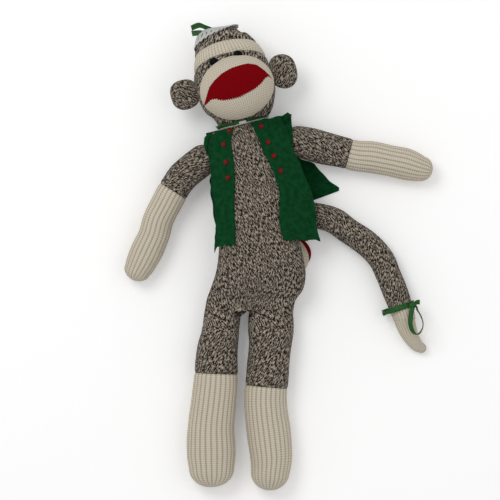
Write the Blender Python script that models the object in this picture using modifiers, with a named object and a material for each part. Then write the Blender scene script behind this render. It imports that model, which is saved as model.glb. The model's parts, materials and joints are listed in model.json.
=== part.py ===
"""Sock monkey doll: stuffed knitted forms, felt vest, beads, ribbons and lace.

The doll lies on its back: +X to the viewer's right, +Y toward the head, +Z up out of the belly.
The origin is the resting point under the back of the vest.
"""
import math

import bmesh
import bpy
import numpy as np
from mathutils import Matrix, Vector
from mathutils.bvhtree import BVHTree

# Driving sizes, in metres
TORSO_LENGTH = 0.218
TORSO_WIDTH = 0.103
TORSO_DEPTH = 0.071
HEAD_HEIGHT = 0.107
HEAD_WIDTH = 0.0865
HEAD_DEPTH = 0.074
MUZZLE_WIDTH = 0.083
MUZZLE_HEIGHT = 0.070
MUZZLE_DEPTH = 0.076
EYE_WIDTH = 0.0105
EYE_HEIGHT = 0.0090
EYE_DOME = 0.0035
EAR_SPAN = 0.034
EAR_HEIGHT = 0.036
EAR_THICKNESS = 0.013
EAR_ROOT_RADIUS = 0.0024
ARM_RADIUS = 0.0172
ARM_LENGTH = 0.056
HAND_LENGTH = 0.086
LEG_RADIUS = 0.0208
LEG_LENGTH = 0.072
FOOT_LENGTH = 0.112
TAIL_RADIUS = 0.0148
TAIL_LENGTH = 0.160
TAIL_TIP_LENGTH = 0.050
FELT = 0.0013
BEAD_DIAMETER = 0.0064
BEAD_DOME = 0.0030
RIBBON_WIDTH = 0.0062
RIBBON_THICKNESS = 0.0005
TIE_WIDTH = 0.0020
TIE_KNOT = (0.0040, 0.0015, 0.0016)
LACE_THICKNESS = 0.0012
BOW_KNOT = (0.0036, 0.0030, 0.0022)
SEAT_RADII = (0.0385, 0.0290, 0.0150)
SEAT_BORDER = 0.0060
SEAT_SHIFT = 0.0020

# Fits
CLEARANCE = 0.0003
FLAT_DEPTH = 0.0005
RIM_SETBACK = 0.0065
SHOULDER_HEIGHT = 0.029
ARM_LIFT = 0.0035
TAIL_LIFT = 0.0018
SEAM_HEIGHTS = {"left": (0.0605, 0.0430), "right": (0.0620, 0.0490)}
DRAPE_GAP = 0.0009
BEAD_SEAT = 0.0005
SEAM_GAP = 0.0008
BAND_GAP = 0.0013
OVERRUN = 0.3

# Angles, in degrees
HEAD_TILT = 14.0
CAP_PITCH = 22.0
MUZZLE_TILT = 17.5
HIP_MITRE = 42.0
KNEE_MITRE = 38.0
ELBOW_MITRE = 38.0
HIP_FOLD = 80.0
LIMB_FOLD = 70.0
LACE_TURN = 15.0
LACE_PITCH = 12.0

# Ribbons
NECK_FLARE = 0.06
TAIL_BAND_GAP = 0.0017
TAIL_BAND_SLACK = 0.0040
BOW_ANGLE = 42.0
LOOP_WIDTH_SHARE = 0.85

# Facets
RING_SIDES = 20
BAND_SIDES = 32
SPAN_STEPS = 2
CAP_ANGLES = (22, 44, 66)

# Where the resting point lies along the torso, from the neck
REST_SHARE = 0.347

# Torso: share along, across, half width, back height, front height
TORSO_SHARES = [
    (-0.07, -0.155, 0.27, 0.20, 0.78),
    (0.00, -0.145, 0.28, 0.16, 0.79),
    (0.05, -0.105, 0.385, 0.06, 0.86),
    (0.14, -0.043, 0.410, -0.01, 0.93),
    (0.25, -0.005, 0.430, -0.01, 0.97),
    (0.40, 0.020, 0.437, -0.01, 1.00),
    (0.55, 0.040, 0.427, -0.01, 1.00),
    (0.67, 0.060, 0.450, -0.01, 0.98),
    (0.77, 0.062, 0.485, -0.01, 0.93),
    (0.85, 0.020, 0.500, -0.01, 0.80),
    (0.92, -0.035, 0.490, -0.01, 0.64),
    (1.02, -0.065, 0.485, -0.01, 0.60),
]
VEST_HEM_SHARE = 0.63

# Head: share of height from the neck, across share of width, half width, back, front shares
HEAD_SHARES = [
    (-0.06, 0.01, 0.295, 0.20, 0.72),
    (0.00, 0.01, 0.315, 0.17, 0.76),
    (0.12, 0.03, 0.42, 0.04, 0.90),
    (0.26, 0.035, 0.49, -0.01, 0.99),
    (0.40, 0.03, 0.50, -0.01, 1.00),
    (0.56, 0.025, 0.485, -0.01, 0.98),
    (0.70, 0.015, 0.44, 0.02, 0.94),
    (0.80, 0.005, 0.385, 0.07, 0.88),
    (0.90, 0.00, 0.315, 0.14, 0.80),
    (0.965, 0.01, 0.23, 0.24, 0.70),
]
HEAD_CAP_SHARE = 0.035
BAND_BOTTOM_SHARE = 0.60
BAND_TOP_SHARE = 0.755

# Limbs: share of the length along X and Y from the joint, half width share, height share
ARM_SHARES = {
    "left": [(0, 0, 1, 1), (-0.37, -0.30, 1.0, 0.97), (-0.60, -0.62, 1.0, 0.98), (-0.75, -0.90, 1.0, 1)],
    "right": [(0, 0, 1, 1), (0.44, -0.11, 1.07, 1), (0.86, -0.21, 1.0, 1), (1.15, -0.28, 0.98, 1)],
}
HAND_SHARES = {
    "left": [(0, 0, 1, 1), (-0.10, -0.20, 1.0, 0.98), (-0.16, -0.41, 1.01, 0.98),
             (-0.25, -0.61, 1.04, 0.98), (-0.34, -0.80, 0.98, 0.94), (-0.39, -0.90, 0.86, 0.86)],
    "right": [(0, 0, 1, 1), (0.21, -0.02, 1.03, 1), (0.44, -0.065, 1.0, 0.98),
              (0.65, -0.11, 1.02, 0.98), (0.82, -0.16, 0.90, 0.92), (0.88, -0.175, 0.80, 0.84)],
}
LEG_SHARES = {
    "left": [(0, 0, 0.99, 1), (-0.03, -0.24, 0.99, 1), (-0.075, -0.52, 1.08, 1), (-0.10, -1.0, 1.17, 1)],
    "right": [(0, 0, 1.22, 1), (0, -0.20, 1.22, 1), (-0.015, -0.50, 1.12, 1), (-0.08, -1.16, 1.14, 1)],
}
FOOT_SHARES = {
    "left": [(0, 0, 1.17, 1), (-0.02, -0.20, 1.20, 1), (-0.045, -0.44, 1.24, 1),
             (-0.043, -0.69, 1.30, 1), (-0.04, -0.86, 1.20, 0.96)],
    "right": [(0, 0, 1.14, 1), (0.005, -0.19, 1.15, 1), (0.035, -0.44, 1.18, 1),
              (0.055, -0.64, 1.12, 1), (0.045, -0.79, 1.02, 0.94)],
}
TAIL_SHARES = [
    (0, 0, 0.98, 1), (0.22, -0.04, 0.98, 1), (0.36, -0.128, 0.98, 1), (0.50, -0.229, 0.98, 0.98),
    (0.58, -0.32, 0.97, 0.96), (0.63, -0.43, 0.96, 0.95), (0.675, -0.54, 0.95, 0.93),
    (0.7375, -0.714, 0.84, 0.84),
]
TIP_SHARES = [
    (0, 0, 0.84, 0.84), (0.035, -0.14, 0.76, 0.78), (0.128, -0.392, 0.66, 0.70), (0.282, -0.636, 0.50, 0.56),
    (0.404, -0.724, 0.38, 0.44),
]

# Joint places on the torso: share of length from the neck, share of width across
SHOULDER_SHARES = {"left": (0.194, -0.560), "right": (0.0995, 0.474)}
HIP_SHARES = {"left": (1.0, -0.356), "right": (1.0, 0.172)}
TAIL_ROOT_SHARE = (0.464, 0.463)

# Vest back rows: left along, across, right along, across, height share of the torso depth
BACK_ROW_SHARES = [
    (0.582, -0.410, 0.352, 0.895, 0), (0.439, -0.458, 0.335, 0.911, 0), (0.337, -0.485, 0.283, 0.776, 0),
    (0.276, -0.485, 0.209, 0.636, 0), (0.214, -0.453, 0.179, 0.474, 0), (0.153, -0.453, 0.122, 0.41, 0.003),
    (0.110, -0.48, 0.071, 0.395, 0.003), (0.080, -0.51, 0.025, 0.392, 0.03), (0.064, -0.525, -0.012, 0.390, 0.20),
    (0.059, -0.530, -0.030, 0.390, 0.40), (0.059, -0.525, -0.038, 0.390, 0.52),
]
BACK_COLUMN_SHARES = (0, 0.07, 0.14, 0.28, 0.43, 0.57, 0.71, 0.80, 0.90, 1.0)
STRAP_ROWS = 6
STRAP_COLUMNS = (2, 6)

# Vest front rows: inner along, across, outer along, across
FRONT_ROW_SHARES = {
    "left": [(0.034, -0.225, 0.062, -0.507), (0.092, -0.253, 0.092, -0.544), (0.143, -0.248, 0.143, -0.533),
             (0.194, -0.232, 0.194, -0.490), (0.255, -0.220, 0.270, -0.469), (0.337, -0.216, 0.337, -0.469),
             (0.418, -0.226, 0.418, -0.437), (0.485, -0.216, 0.485, -0.426), (0.551, -0.212, 0.551, -0.426),
             (0.627, -0.205, 0.633, -0.436)],
    "right": [(0.012, -0.040, -0.038, 0.388), (0.071, 0.016, 0.071, 0.404), (0.143, 0.075, 0.143, 0.410),
              (0.204, 0.140, 0.204, 0.474), (0.281, 0.210, 0.281, 0.539), (0.352, 0.256, 0.352, 0.603),
              (0.418, 0.259, 0.418, 0.641), (0.485, 0.255, 0.485, 0.657), (0.546, 0.275, 0.546, 0.670),
              (0.602, 0.300, 0.604, 0.700)],
}
FRONT_COLUMNS = 7
DRAPE_SLOPE = 0.72
BEAD_SHARES = {
    "left": [(0.050, -0.262), (0.119, -0.325), (0.209, -0.304), (0.288, -0.282)],
    "right": [(0.027, 0.056), (0.110, 0.131), (0.179, 0.194), (0.253, 0.264)],
}

# Face: shares of the head's height from the neck and of its width across
MUZZLE_SHARE = (0.345, -0.005)
EYE_SHARES = {"left": (0.655, -0.197), "right": (0.668, 0.125)}
EAR_SHARES = {"left": (0.385, 0.0), "right": (0.430, 0.0)}
# Mouth outline: shares of the muzzle's width and height from its centre
MOUTH_SHARES = [
    (-0.483, -0.130), (-0.430, -0.010), (-0.372, 0.105), (-0.270, 0.215), (-0.140, 0.275), (0.010, 0.300),
    (0.150, 0.283), (0.275, 0.225), (0.375, 0.130), (0.440, 0.045), (0.480, -0.020), (0.435, 0.002),
    (0.365, -0.022), (0.300, -0.090), (0.200, -0.170), (0.070, -0.225), (-0.070, -0.250), (-0.200, -0.240),
    (-0.300, -0.190), (-0.350, -0.180), (-0.415, -0.185),
]

# Lace edge on the crown: share of the head's height and width at the middle of the edge
LACE_SHARE = (0.898, -0.088)
# Crown ribbons: places as shares of the head's height and width from the neck, and of its depth
CROWN_RIBBON_SHARES = {
    "upper": [(1.010, -0.050, 0.52), (1.030, -0.140, 0.57), (1.045, -0.225, 0.60), (1.060, -0.320, 0.60)],
    "lower": [(0.985, -0.070, 0.50), (0.975, -0.160, 0.53), (0.985, -0.250, 0.53), (1.010, -0.340, 0.50)],
}
# Seat patch: share of the torso's length and width at its middle
SEAT_SHARE = (0.700, 0.235)
SEAT_RISE_SHARE = 0.75
# Tail bow loop from the knot: shares of the tip's length along X and Y, of the ribbon's width up, lean in degrees
LOOP_SHARES = [
    (-0.010, -0.085, 0.55, 5), (-0.030, -0.16, 0.6, 10), (-0.045, -0.28, 0.6, 15), (-0.05, -0.42, 0.6, 20),
    (-0.005, -0.57, 0.6, 30), (0.07, -0.645, 0.6, 50), (0.15, -0.62, 0.6, 70), (0.215, -0.51, 0.6, 85),
    (0.225, -0.38, 0.6, 85), (0.175, -0.23, 0.5, 80), (0.105, -0.11, 0.25, 75), (0.077, -0.020, 0.05, 75),
]
# Short ribbon end beside the knot, in the same shares
RIBBON_END_SHARES = [(0.082, 0.06, 0.0, 0), (0.12, 0.07, 0.05, 0), (0.16, 0.065, 0.0, 0)]


def clear_scene():
    """Remove the objects of the opened scene."""
    for obj in list(bpy.data.objects):
        bpy.data.objects.remove(obj, do_unlink=True)


def new_collection(name):
    """A collection linked to the scene."""
    collection = bpy.data.collections.new(name)
    bpy.context.scene.collection.children.link(collection)
    return collection


def make_material(name, colour, roughness, metallic=0.0):
    """A Principled BSDF material with a linear colour."""
    material = bpy.data.materials.new(name)
    material.use_nodes = True
    shader = material.node_tree.nodes["Principled BSDF"]
    shader.inputs["Base Color"].default_value = (*colour, 1.0)
    shader.inputs["Roughness"].default_value = roughness
    shader.inputs["Metallic"].default_value = metallic
    material.diffuse_color = (*colour, 1.0)
    return material


def add_object(name, bm, collection, material=None, origin=(0, 0, 0)):
    """An object made from a bmesh in world places, with its origin at the given point."""
    mesh = bpy.data.meshes.new(name)
    bmesh.ops.recalc_face_normals(bm, faces=bm.faces)
    bm.to_mesh(mesh)
    bm.free()
    mesh.transform(Matrix.Translation(-Vector(origin)))
    mesh.shade_smooth()
    mesh.set_sharp_from_angle(angle=math.radians(40))
    if material:
        mesh.materials.append(material)
    obj = bpy.data.objects.new(name, mesh)
    obj.location = origin
    collection.objects.link(obj)
    return obj


def hide_cutter(obj):
    """A cutter shows as wire and is left out of renders."""
    obj.hide_render = True
    obj.display_type = "WIRE"


def cut(obj, cutter):
    """Take the cutter's volume out of the object."""
    modifier = obj.modifiers.new("cut_" + cutter.name, "BOOLEAN")
    modifier.operation = "DIFFERENCE"
    modifier.solver = "EXACT"
    modifier.object = cutter


def keep_side(bm, point, normal):
    """Cut a closed bmesh with a plane, keep the side the normal points away from, and close it."""
    geometry = bm.verts[:] + bm.edges[:] + bm.faces[:]
    bmesh.ops.bisect_plane(bm, geom=geometry, plane_co=point, plane_no=normal, clear_outer=True)
    open_edges = [edge for edge in bm.edges if edge.is_boundary]
    bmesh.ops.holes_fill(bm, edges=open_edges, sides=0)


def smooth_rows(rows, steps=SPAN_STEPS):
    """Rows of a Catmull-Rom curve through the given rows."""
    rows = np.array(rows, dtype=float)
    ends = np.vstack([2 * rows[0] - rows[1], rows, 2 * rows[-1] - rows[-2]])
    result = []
    for before, start, end, after in zip(ends, ends[1:], ends[2:], ends[3:]):
        for t in np.arange(steps) / steps:
            linear = (end - before) * t
            square = (2 * before - 5 * start + 4 * end - after) * t ** 2
            cube = (3 * start - before - 3 * end + after) * t ** 3
            result.append((2 * start + linear + square + cube) / 2)
    result.append(rows[-1])
    return np.array(result)


def loft(rows, floor, root_cap=0.0, tip_cap=0.0):
    """Closed bmesh of elliptic rings: rows hold x, y, z, half width and half height.

    Each ring is square to the path in plan. A cap length adds an ellipsoid end.
    Vertices stay at or above the floor, one height for each row.
    """
    rows = np.array(rows, dtype=float)
    floor = np.broadcast_to(floor, len(rows)).astype(float)
    heading = np.gradient(rows[:, :2], axis=0)
    heading /= np.linalg.norm(heading, axis=1)[:, None]
    for end, cap, sign in ((0, root_cap, -1), (-1, tip_cap, 1)):
        if cap:
            extra = []
            for angle in np.radians(CAP_ANGLES):
                row = rows[end].copy()
                row[:2] += sign * cap * math.sin(angle) * heading[end]
                row[3:] *= math.cos(angle)
                extra.append(row)
            if end == 0:
                rows = np.vstack([extra[::-1], rows])
                heading = np.vstack([[heading[0]] * len(extra), heading])
                floor = np.concatenate([[floor[0]] * len(extra), floor])
            else:
                rows = np.vstack([rows, extra])
                heading = np.vstack([heading, [heading[-1]] * len(extra)])
                floor = np.concatenate([floor, [floor[-1]] * len(extra)])
    bm = bmesh.new()
    turns = (np.arange(RING_SIDES) + 0.5) * 2 * math.pi / RING_SIDES
    rings = []
    for (x, y, z, width, height), (ux, uy), low in zip(rows, heading, floor):
        side = width * np.cos(turns)
        up = np.maximum(z + height * np.sin(turns), low)
        points = np.stack([x + uy * side, y - ux * side, up], axis=1)
        rings.append([bm.verts.new(point) for point in points])
    for ring, following in zip(rings, rings[1:]):
        for a in range(RING_SIDES):
            b = (a + 1) % RING_SIDES
            bm.faces.new((ring[a], ring[b], following[b], following[a]))
    bm.faces.new(rings[0])
    bm.faces.new(rings[-1])
    bm.normal_update()
    return bm


def torso_place(share, height=0.0):
    """World point from a share of the torso's length and width, and a height."""
    along, across = share
    return Vector((across * TORSO_WIDTH, (REST_SHARE - along) * TORSO_LENGTH, height))


def head_up():
    """Unit vector up the tilted head, in plan."""
    tilt = math.radians(HEAD_TILT)
    return Vector((-math.sin(tilt), math.cos(tilt), 0))


def head_side():
    """Unit vector across the tilted head toward +X."""
    up = head_up()
    return Vector((up.y, -up.x, 0))


def neck_point():
    """Centre of the neck joint, at half the neck's depth."""
    neck = TORSO_SHARES[1]
    height = (neck[3] + neck[4]) / 2 * TORSO_DEPTH
    return torso_place((neck[0], neck[1]), height)


def neck_seam():
    """Middle of the plane that parts head and torso, just under the neck ribbon."""
    return neck_point() - head_up() * (RIBBON_WIDTH / 2 + CLEARANCE)


def head_place(share, height=0.0):
    """World point from shares of the head's height and width, and a height above the floor."""
    along, across = share
    base = neck_point()
    point = base + head_up() * along * HEAD_HEIGHT + head_side() * across * HEAD_WIDTH
    point.z = height
    return point


def swell_rows(shares, place, width, depth):
    """Loft rows of a form that lies on its back: backs below the floor are cut flat there."""
    rows = []
    for along, across, half, back, front in smooth_rows(shares):
        low = back * depth
        high = front * depth
        point = place((along, across))
        rows.append((point.x, point.y, (low + high) / 2, half * width, (high - low) / 2))
    return rows


def limb_rows(shares, root, length, radius, root_z, tip_z):
    """Loft rows of a limb from its joint; its middle height falls from root_z to tip_z."""
    steps = smooth_rows(shares)
    reach = np.linspace(0, 1, len(steps))
    rows = []
    for (x, y, half, thick), t in zip(steps, reach):
        rows.append((root.x + x * length, root.y + y * length, root_z + (tip_z - root_z) * t,
                     half * radius, thick * radius))
    return rows


def plan_heading(rows, index):
    """Unit heading in plan of a path at its first (0) or last (-1) row."""
    pair = (rows[0], rows[1]) if index == 0 else (rows[-2], rows[-1])
    return Vector((pair[1][0] - pair[0][0], pair[1][1] - pair[0][1], 0)).normalized()


def ball(name, centre, half_width, radius, heading, cutters):
    """Ellipsoid cutter round a hinge that lies across the heading, larger by the clearance."""
    facets = 1 / math.cos(math.pi / RING_SIDES)
    bm = bmesh.new()
    bmesh.ops.create_uvsphere(bm, u_segments=RING_SIDES + 4, v_segments=RING_SIDES // 2 + 4, radius=1)
    across = Vector((heading.y, -heading.x, 0))
    reach = (radius + CLEARANCE) * facets
    frame = Matrix((across, heading, Vector((0, 0, 1)))).transposed()
    size = Matrix.Diagonal(((half_width + CLEARANCE) * facets, reach, reach))
    bmesh.ops.transform(bm, matrix=(frame @ size).to_4x4(), verts=bm.verts)
    bmesh.ops.translate(bm, vec=centre, verts=bm.verts)
    cutter = add_object(name, bm, cutters)
    hide_cutter(cutter)
    return cutter


def fold_room(name, centre, half_width, radius, heading, angle, hinge_up, cutters):
    """Oval rod cutter where a limb's root stands when it is folded up to the angle."""
    facets = 1 / math.cos(math.pi / RING_SIDES)
    fold = math.radians(angle)
    along = heading * math.cos(fold) + Vector((0, 0, hinge_up * math.sin(fold)))
    across = Vector((heading.y, -heading.x, 0))
    bm = bmesh.new()
    bmesh.ops.create_cone(bm, cap_ends=True, segments=RING_SIDES + 2, radius1=1, radius2=1, depth=2)
    bmesh.ops.translate(bm, vec=(0, 0, 1), verts=bm.verts)
    frame = Matrix((across, along.cross(across), along)).transposed()
    size = Matrix.Diagonal(((half_width + 2 * CLEARANCE) * facets, (radius + 2 * CLEARANCE) * facets, 2 * radius))
    bmesh.ops.transform(bm, matrix=(frame @ size).to_4x4(), verts=bm.verts)
    bmesh.ops.translate(bm, vec=centre, verts=bm.verts)
    cutter = add_object(name, bm, cutters)
    hide_cutter(cutter)
    return cutter


def swollen_copy(name, obj, cutters, amount=1.5 * CLEARANCE):
    """Cutter with the object's finished shape, grown along its normals."""
    bpy.context.view_layer.update()
    bm = bmesh.new()
    bm.from_object(obj, bpy.context.evaluated_depsgraph_get())
    bm.normal_update()
    for vert, normal in [(vert, vert.normal.copy()) for vert in bm.verts]:
        vert.co += normal * amount
    bmesh.ops.translate(bm, vec=obj.location, verts=bm.verts)
    cutter = add_object(name, bm, cutters)
    hide_cutter(cutter)
    return cutter


def build_torso(parts, material):
    """Torso with its neck, trimmed square to the neck and behind the hip axis."""
    rows = swell_rows(TORSO_SHARES, torso_place, TORSO_WIDTH, TORSO_DEPTH)
    hem = torso_place((VEST_HEM_SHARE, 0)).y
    floor = [FELT + CLEARANCE if row[1] > hem else 0 for row in rows]
    bm = loft(rows, floor)
    keep_side(bm, neck_seam() - head_up() * CLEARANCE, head_up())
    hip = torso_place(HIP_SHARES["left"], LEG_RADIUS - FLAT_DEPTH)
    mitre = math.radians(HIP_MITRE)
    keep_side(bm, hip + Vector((0, RIM_SETBACK, 0)), Vector((0, -1, 0)))
    keep_side(bm, hip, Vector((0, -math.cos(mitre), math.sin(mitre))))
    return add_object("torso", bm, parts, material)


def build_head(parts, materials):
    """Head, cream band and crown: one stuffed form parted by two pitched planes."""
    base = neck_point()
    pitch = math.radians(CAP_PITCH)
    normal = head_up() * math.cos(pitch) - Vector((0, 0, math.sin(pitch)))
    rows = swell_rows(HEAD_SHARES, head_place, HEAD_WIDTH, HEAD_DEPTH)
    bottom = head_place((BAND_BOTTOM_SHARE, 0), HEAD_DEPTH / 2)
    top = head_place((BAND_TOP_SHARE, 0), HEAD_DEPTH / 2)
    half_gap = normal * CLEARANCE / 2
    pieces = {}
    for name, low, high, material in (
            ("head", None, bottom - half_gap, "marl"),
            ("cap_band", bottom + half_gap, top - half_gap, "cream"),
            ("cap_crown", top + half_gap, None, "marl")):
        bm = loft(rows, 0, tip_cap=HEAD_CAP_SHARE * HEAD_HEIGHT)
        keep_side(bm, neck_seam(), -head_up())
        if high:
            keep_side(bm, high, normal)
        if low:
            keep_side(bm, low, -normal)
        pieces[name] = add_object(name, bm, parts, materials[material], origin=base)
    whole = loft(rows, 0, tip_cap=HEAD_CAP_SHARE * HEAD_HEIGHT)
    tree = BVHTree.FromBMesh(whole)
    whole.free()
    return pieces, tree


def build_muzzle(parts, cutters, materials, head_cutters):
    """Stuffed cream muzzle against the face, with the red mouth let into its front."""
    centre = head_place(MUZZLE_SHARE, HEAD_DEPTH - MUZZLE_DEPTH / 8)
    turn = Matrix.Rotation(math.radians(MUZZLE_TILT), 3, "Z")

    def oval(growth):
        bm = bmesh.new()
        bmesh.ops.create_uvsphere(bm, u_segments=28, v_segments=14, radius=1)
        size = Matrix.Diagonal((MUZZLE_WIDTH / 2 + growth, MUZZLE_HEIGHT / 2 + growth,
                                MUZZLE_DEPTH / 2 + growth))
        bmesh.ops.transform(bm, matrix=(turn @ size).to_4x4(), verts=bm.verts)
        bmesh.ops.translate(bm, vec=centre, verts=bm.verts)
        return bm

    def lens(name, growth):
        bm = bmesh.new()
        outline = [Vector((x * MUZZLE_WIDTH, y * MUZZLE_HEIGHT, 0)) for x, y in MOUTH_SHARES]
        points = []
        for before, point, after in zip(outline[-1:] + outline, outline, outline[1:] + outline[:1]):
            first = (point - before).normalized()
            second = (after - point).normalized()
            outward = Vector((-first.y - second.y, first.x + second.x, 0)).normalized()
            share = max(outward.dot(Vector((-first.y, first.x, 0))), 0.3)
            points.append(centre + turn @ (point + outward * growth / share))
        face = bm.faces.new([bm.verts.new(point) for point in points])
        bm.normal_update()
        if face.normal.z > 0:
            face.normal_flip()
        top = bmesh.ops.extrude_face_region(bm, geom=[face])["geom"]
        moved = [item for item in top if isinstance(item, bmesh.types.BMVert)]
        bmesh.ops.translate(bm, vec=(0, 0, MUZZLE_DEPTH), verts=moved)
        bmesh.ops.translate(bm, vec=(0, 0, MUZZLE_DEPTH / 10), verts=bm.verts)
        cutter = add_object(name, bm, cutters)
        hide_cutter(cutter)
        return cutter

    muzzle = add_object("muzzle", oval(0), parts, materials["cream"], origin=centre)
    for cutter in head_cutters:
        cut(muzzle, cutter)
    cut(muzzle, lens("mouth_recess", CLEARANCE))
    mouth = add_object("mouth", oval(CLEARANCE), parts, materials["red_knit"], origin=centre)
    keep = mouth.modifiers.new("keep_lens", "BOOLEAN")
    keep.operation = "INTERSECT"
    keep.solver = "EXACT"
    keep.object = lens("mouth_outline", 0)
    for cutter in head_cutters:
        cut(mouth, cutter)
    return muzzle, centre, oval(2 * CLEARANCE)


def build_eyes(parts, cutters, materials, tree, face_cutters):
    """Black oval eyes seated on the face, the viewer's right one tucked behind the muzzle."""
    for side, share in EYE_SHARES.items():
        above = head_place(share, HEAD_DEPTH * 2)
        hit, normal, _, _ = tree.ray_cast(above, Vector((0, 0, -1)))
        if normal.z < 0:
            normal = -normal
        bm = bmesh.new()
        bmesh.ops.create_uvsphere(bm, u_segments=14, v_segments=8, radius=1)
        size = Matrix.Diagonal((EYE_WIDTH / 2, EYE_HEIGHT / 2, EYE_DOME))
        frame = normal.to_track_quat("Z", "Y").to_matrix()
        bmesh.ops.transform(bm, matrix=(frame @ size).to_4x4(), verts=bm.verts)
        bmesh.ops.translate(bm, vec=hit, verts=bm.verts)
        eye = add_object("eye_" + side, bm, parts, materials["black"], origin=hit)
        for cutter in face_cutters:
            cut(eye, cutter)


def build_ear(side, parts, material, tree):
    """Stuffed oval ear that springs from a narrow round root on the head's side."""
    sign = -1 if side == "left" else 1
    middle = HEAD_DEPTH * 0.5
    outward = head_side() * sign
    start = head_place((EAR_SHARES[side][0], sign), middle)
    hit, _, _, _ = tree.ray_cast(start, -outward)
    hinge = hit + outward * (EAR_ROOT_RADIUS + CLEARANCE)
    up = head_up()
    stations = [(-0.9, 0.36), (-0.4, 0.40)]
    rows = []
    for share, height in stations:
        reach = share * EAR_ROOT_RADIUS
        rows.append((reach, height * EAR_HEIGHT / 2, math.sqrt(EAR_ROOT_RADIUS ** 2 - reach ** 2)))
    span = EAR_SPAN - EAR_ROOT_RADIUS
    for angle in np.radians((150, 125, 100, 75, 50, 30, 12)):
        reach = span * (1 + math.cos(angle)) / 2
        swell = math.sin(angle) ** 0.8
        thick = EAR_ROOT_RADIUS + (EAR_THICKNESS / 2 - EAR_ROOT_RADIUS) * swell
        if angle < math.pi / 2:
            thick = EAR_THICKNESS / 2 * swell
        rows.append((reach, EAR_HEIGHT / 2 * math.sin(angle) ** 0.75, thick))
    bm = bmesh.new()
    turns = np.arange(RING_SIDES) * 2 * math.pi / RING_SIDES
    rings = []
    for reach, tall, thick in rows:
        ring = []
        for turn in turns:
            point = hinge + outward * reach + up * tall * math.cos(turn)
            point.z += thick * math.sin(turn)
            ring.append(bm.verts.new(point))
        rings.append(ring)
    for ring, following in zip(rings, rings[1:]):
        for a in range(RING_SIDES):
            b = (a + 1) % RING_SIDES
            bm.faces.new((ring[a], ring[b], following[b], following[a]))
    bm.faces.new(rings[0])
    bm.faces.new(rings[-1])
    return add_object("ear_" + side, bm, parts, material, origin=hinge)


def build_limb(side, names, shares, root, lengths, radius, heights, mitre, hinge_up, parts, cutters, materials):
    """An upper and a lower limb piece: the lower one's round root seats in the upper one's end.

    hinge_up is 1 when the limb folds up from the floor and -1 when it folds down past its back.
    """
    upper_name, lower_name = names
    upper = limb_rows(shares[0], root, lengths[0], radius, heights[0], heights[1])
    x, y, z, half, thick = upper[-1]
    joint = Vector((x, y, z))
    lower = limb_rows(shares[1], joint, lengths[1], radius, heights[1], heights[2])
    heading = plan_heading(lower, 0)
    bm = loft(upper, 0, root_cap=radius, tip_cap=radius)
    keep_side(bm, joint - heading * RIM_SETBACK, heading)
    tilt = math.radians(mitre)
    keep_side(bm, joint, heading * math.cos(tilt) + Vector((0, 0, hinge_up * math.sin(tilt))))
    top = add_object(f"{upper_name}_{side}", bm, parts, materials["marl"], origin=root)
    cut(top, ball(f"{lower_name}_{side}_seat", joint, half, thick, heading, cutters))
    widest = max(row[2] for row in shares[1]) * radius
    cut(top, fold_room(f"{lower_name}_{side}_fold", joint, widest, thick, heading, LIMB_FOLD, hinge_up, cutters))
    low = loft(lower, 0, root_cap=thick, tip_cap=radius * (0.95 if upper_name == "leg" else 0.75))
    add_object(f"{lower_name}_{side}", low, parts, materials["cream"], origin=joint)
    return joint


def seam_height(side, x):
    """Height of the straight shoulder seam of one front panel, at a place across the body."""
    _, inner, _, outer = FRONT_ROW_SHARES[side][0]
    start, end = SEAM_HEIGHTS[side]
    return start + (end - start) * (x / TORSO_WIDTH - inner) / (outer - inner)


def build_vest_back(parts, cutters, material):
    """Felt back panel: flat under the doll, with two straps that rise round the shoulders."""
    rows = []
    for left_along, left_across, right_along, right_across, height in BACK_ROW_SHARES:
        row = []
        for share in BACK_COLUMN_SHARES:
            along = left_along + (right_along - left_along) * share
            across = left_across + (right_across - left_across) * share
            row.append(torso_place((along, across), height * TORSO_DEPTH))
        rows.append(row)
    seam = []
    for point in rows[-1]:
        side = "left" if point.x < 0 else "right"
        seam.append(Vector((point.x, point.y, seam_height(side, point.x) - SEAM_GAP)))
    rows.append(seam)
    first_strap_row = len(rows) - STRAP_ROWS
    bm = bmesh.new()
    verts = [[bm.verts.new(point) for point in row] for row in rows]
    for i in range(len(rows) - 1):
        for j in range(len(BACK_COLUMN_SHARES) - 1):
            if i >= first_strap_row and STRAP_COLUMNS[0] <= j < STRAP_COLUMNS[1]:
                continue
            bm.faces.new((verts[i][j], verts[i][j + 1], verts[i + 1][j + 1], verts[i + 1][j]))
    loose = [vert for vert in bm.verts if not vert.link_faces]
    bmesh.ops.delete(bm, geom=loose, context="VERTS")
    bmesh.ops.triangulate(bm, faces=bm.faces)
    panel = add_sheet("vest_back", bm, parts, material)
    return swollen_copy("vest_back_seat", panel, cutters, 2 * CLEARANCE)


def add_sheet(name, bm, parts, material, thickness=FELT, origin=(0, 0, 0), upward=1):
    """A sheet given its thickness on the side its faces look to."""
    mesh = bpy.data.meshes.new(name)
    bm.normal_update()
    total = sum((face.normal.z * face.calc_area() for face in bm.faces))
    if total * upward < 0:
        bmesh.ops.reverse_faces(bm, faces=bm.faces)
    bm.to_mesh(mesh)
    bm.free()
    mesh.transform(Matrix.Translation(-Vector(origin)))
    mesh.materials.append(material)
    obj = bpy.data.objects.new(name, mesh)
    obj.location = origin
    parts.objects.link(obj)
    solid = obj.modifiers.new("felt", "SOLIDIFY")
    solid.thickness = thickness
    solid.offset = 1.0
    solid.use_even_offset = True
    return obj


def world_tree(obj, depsgraph):
    """Ray tree of an object's finished surface in world places."""
    bm = bmesh.new()
    bm.from_object(obj, depsgraph)
    bmesh.ops.translate(bm, vec=obj.location, verts=bm.verts)
    tree = BVHTree.FromBMesh(bm)
    bm.free()
    return tree


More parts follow.
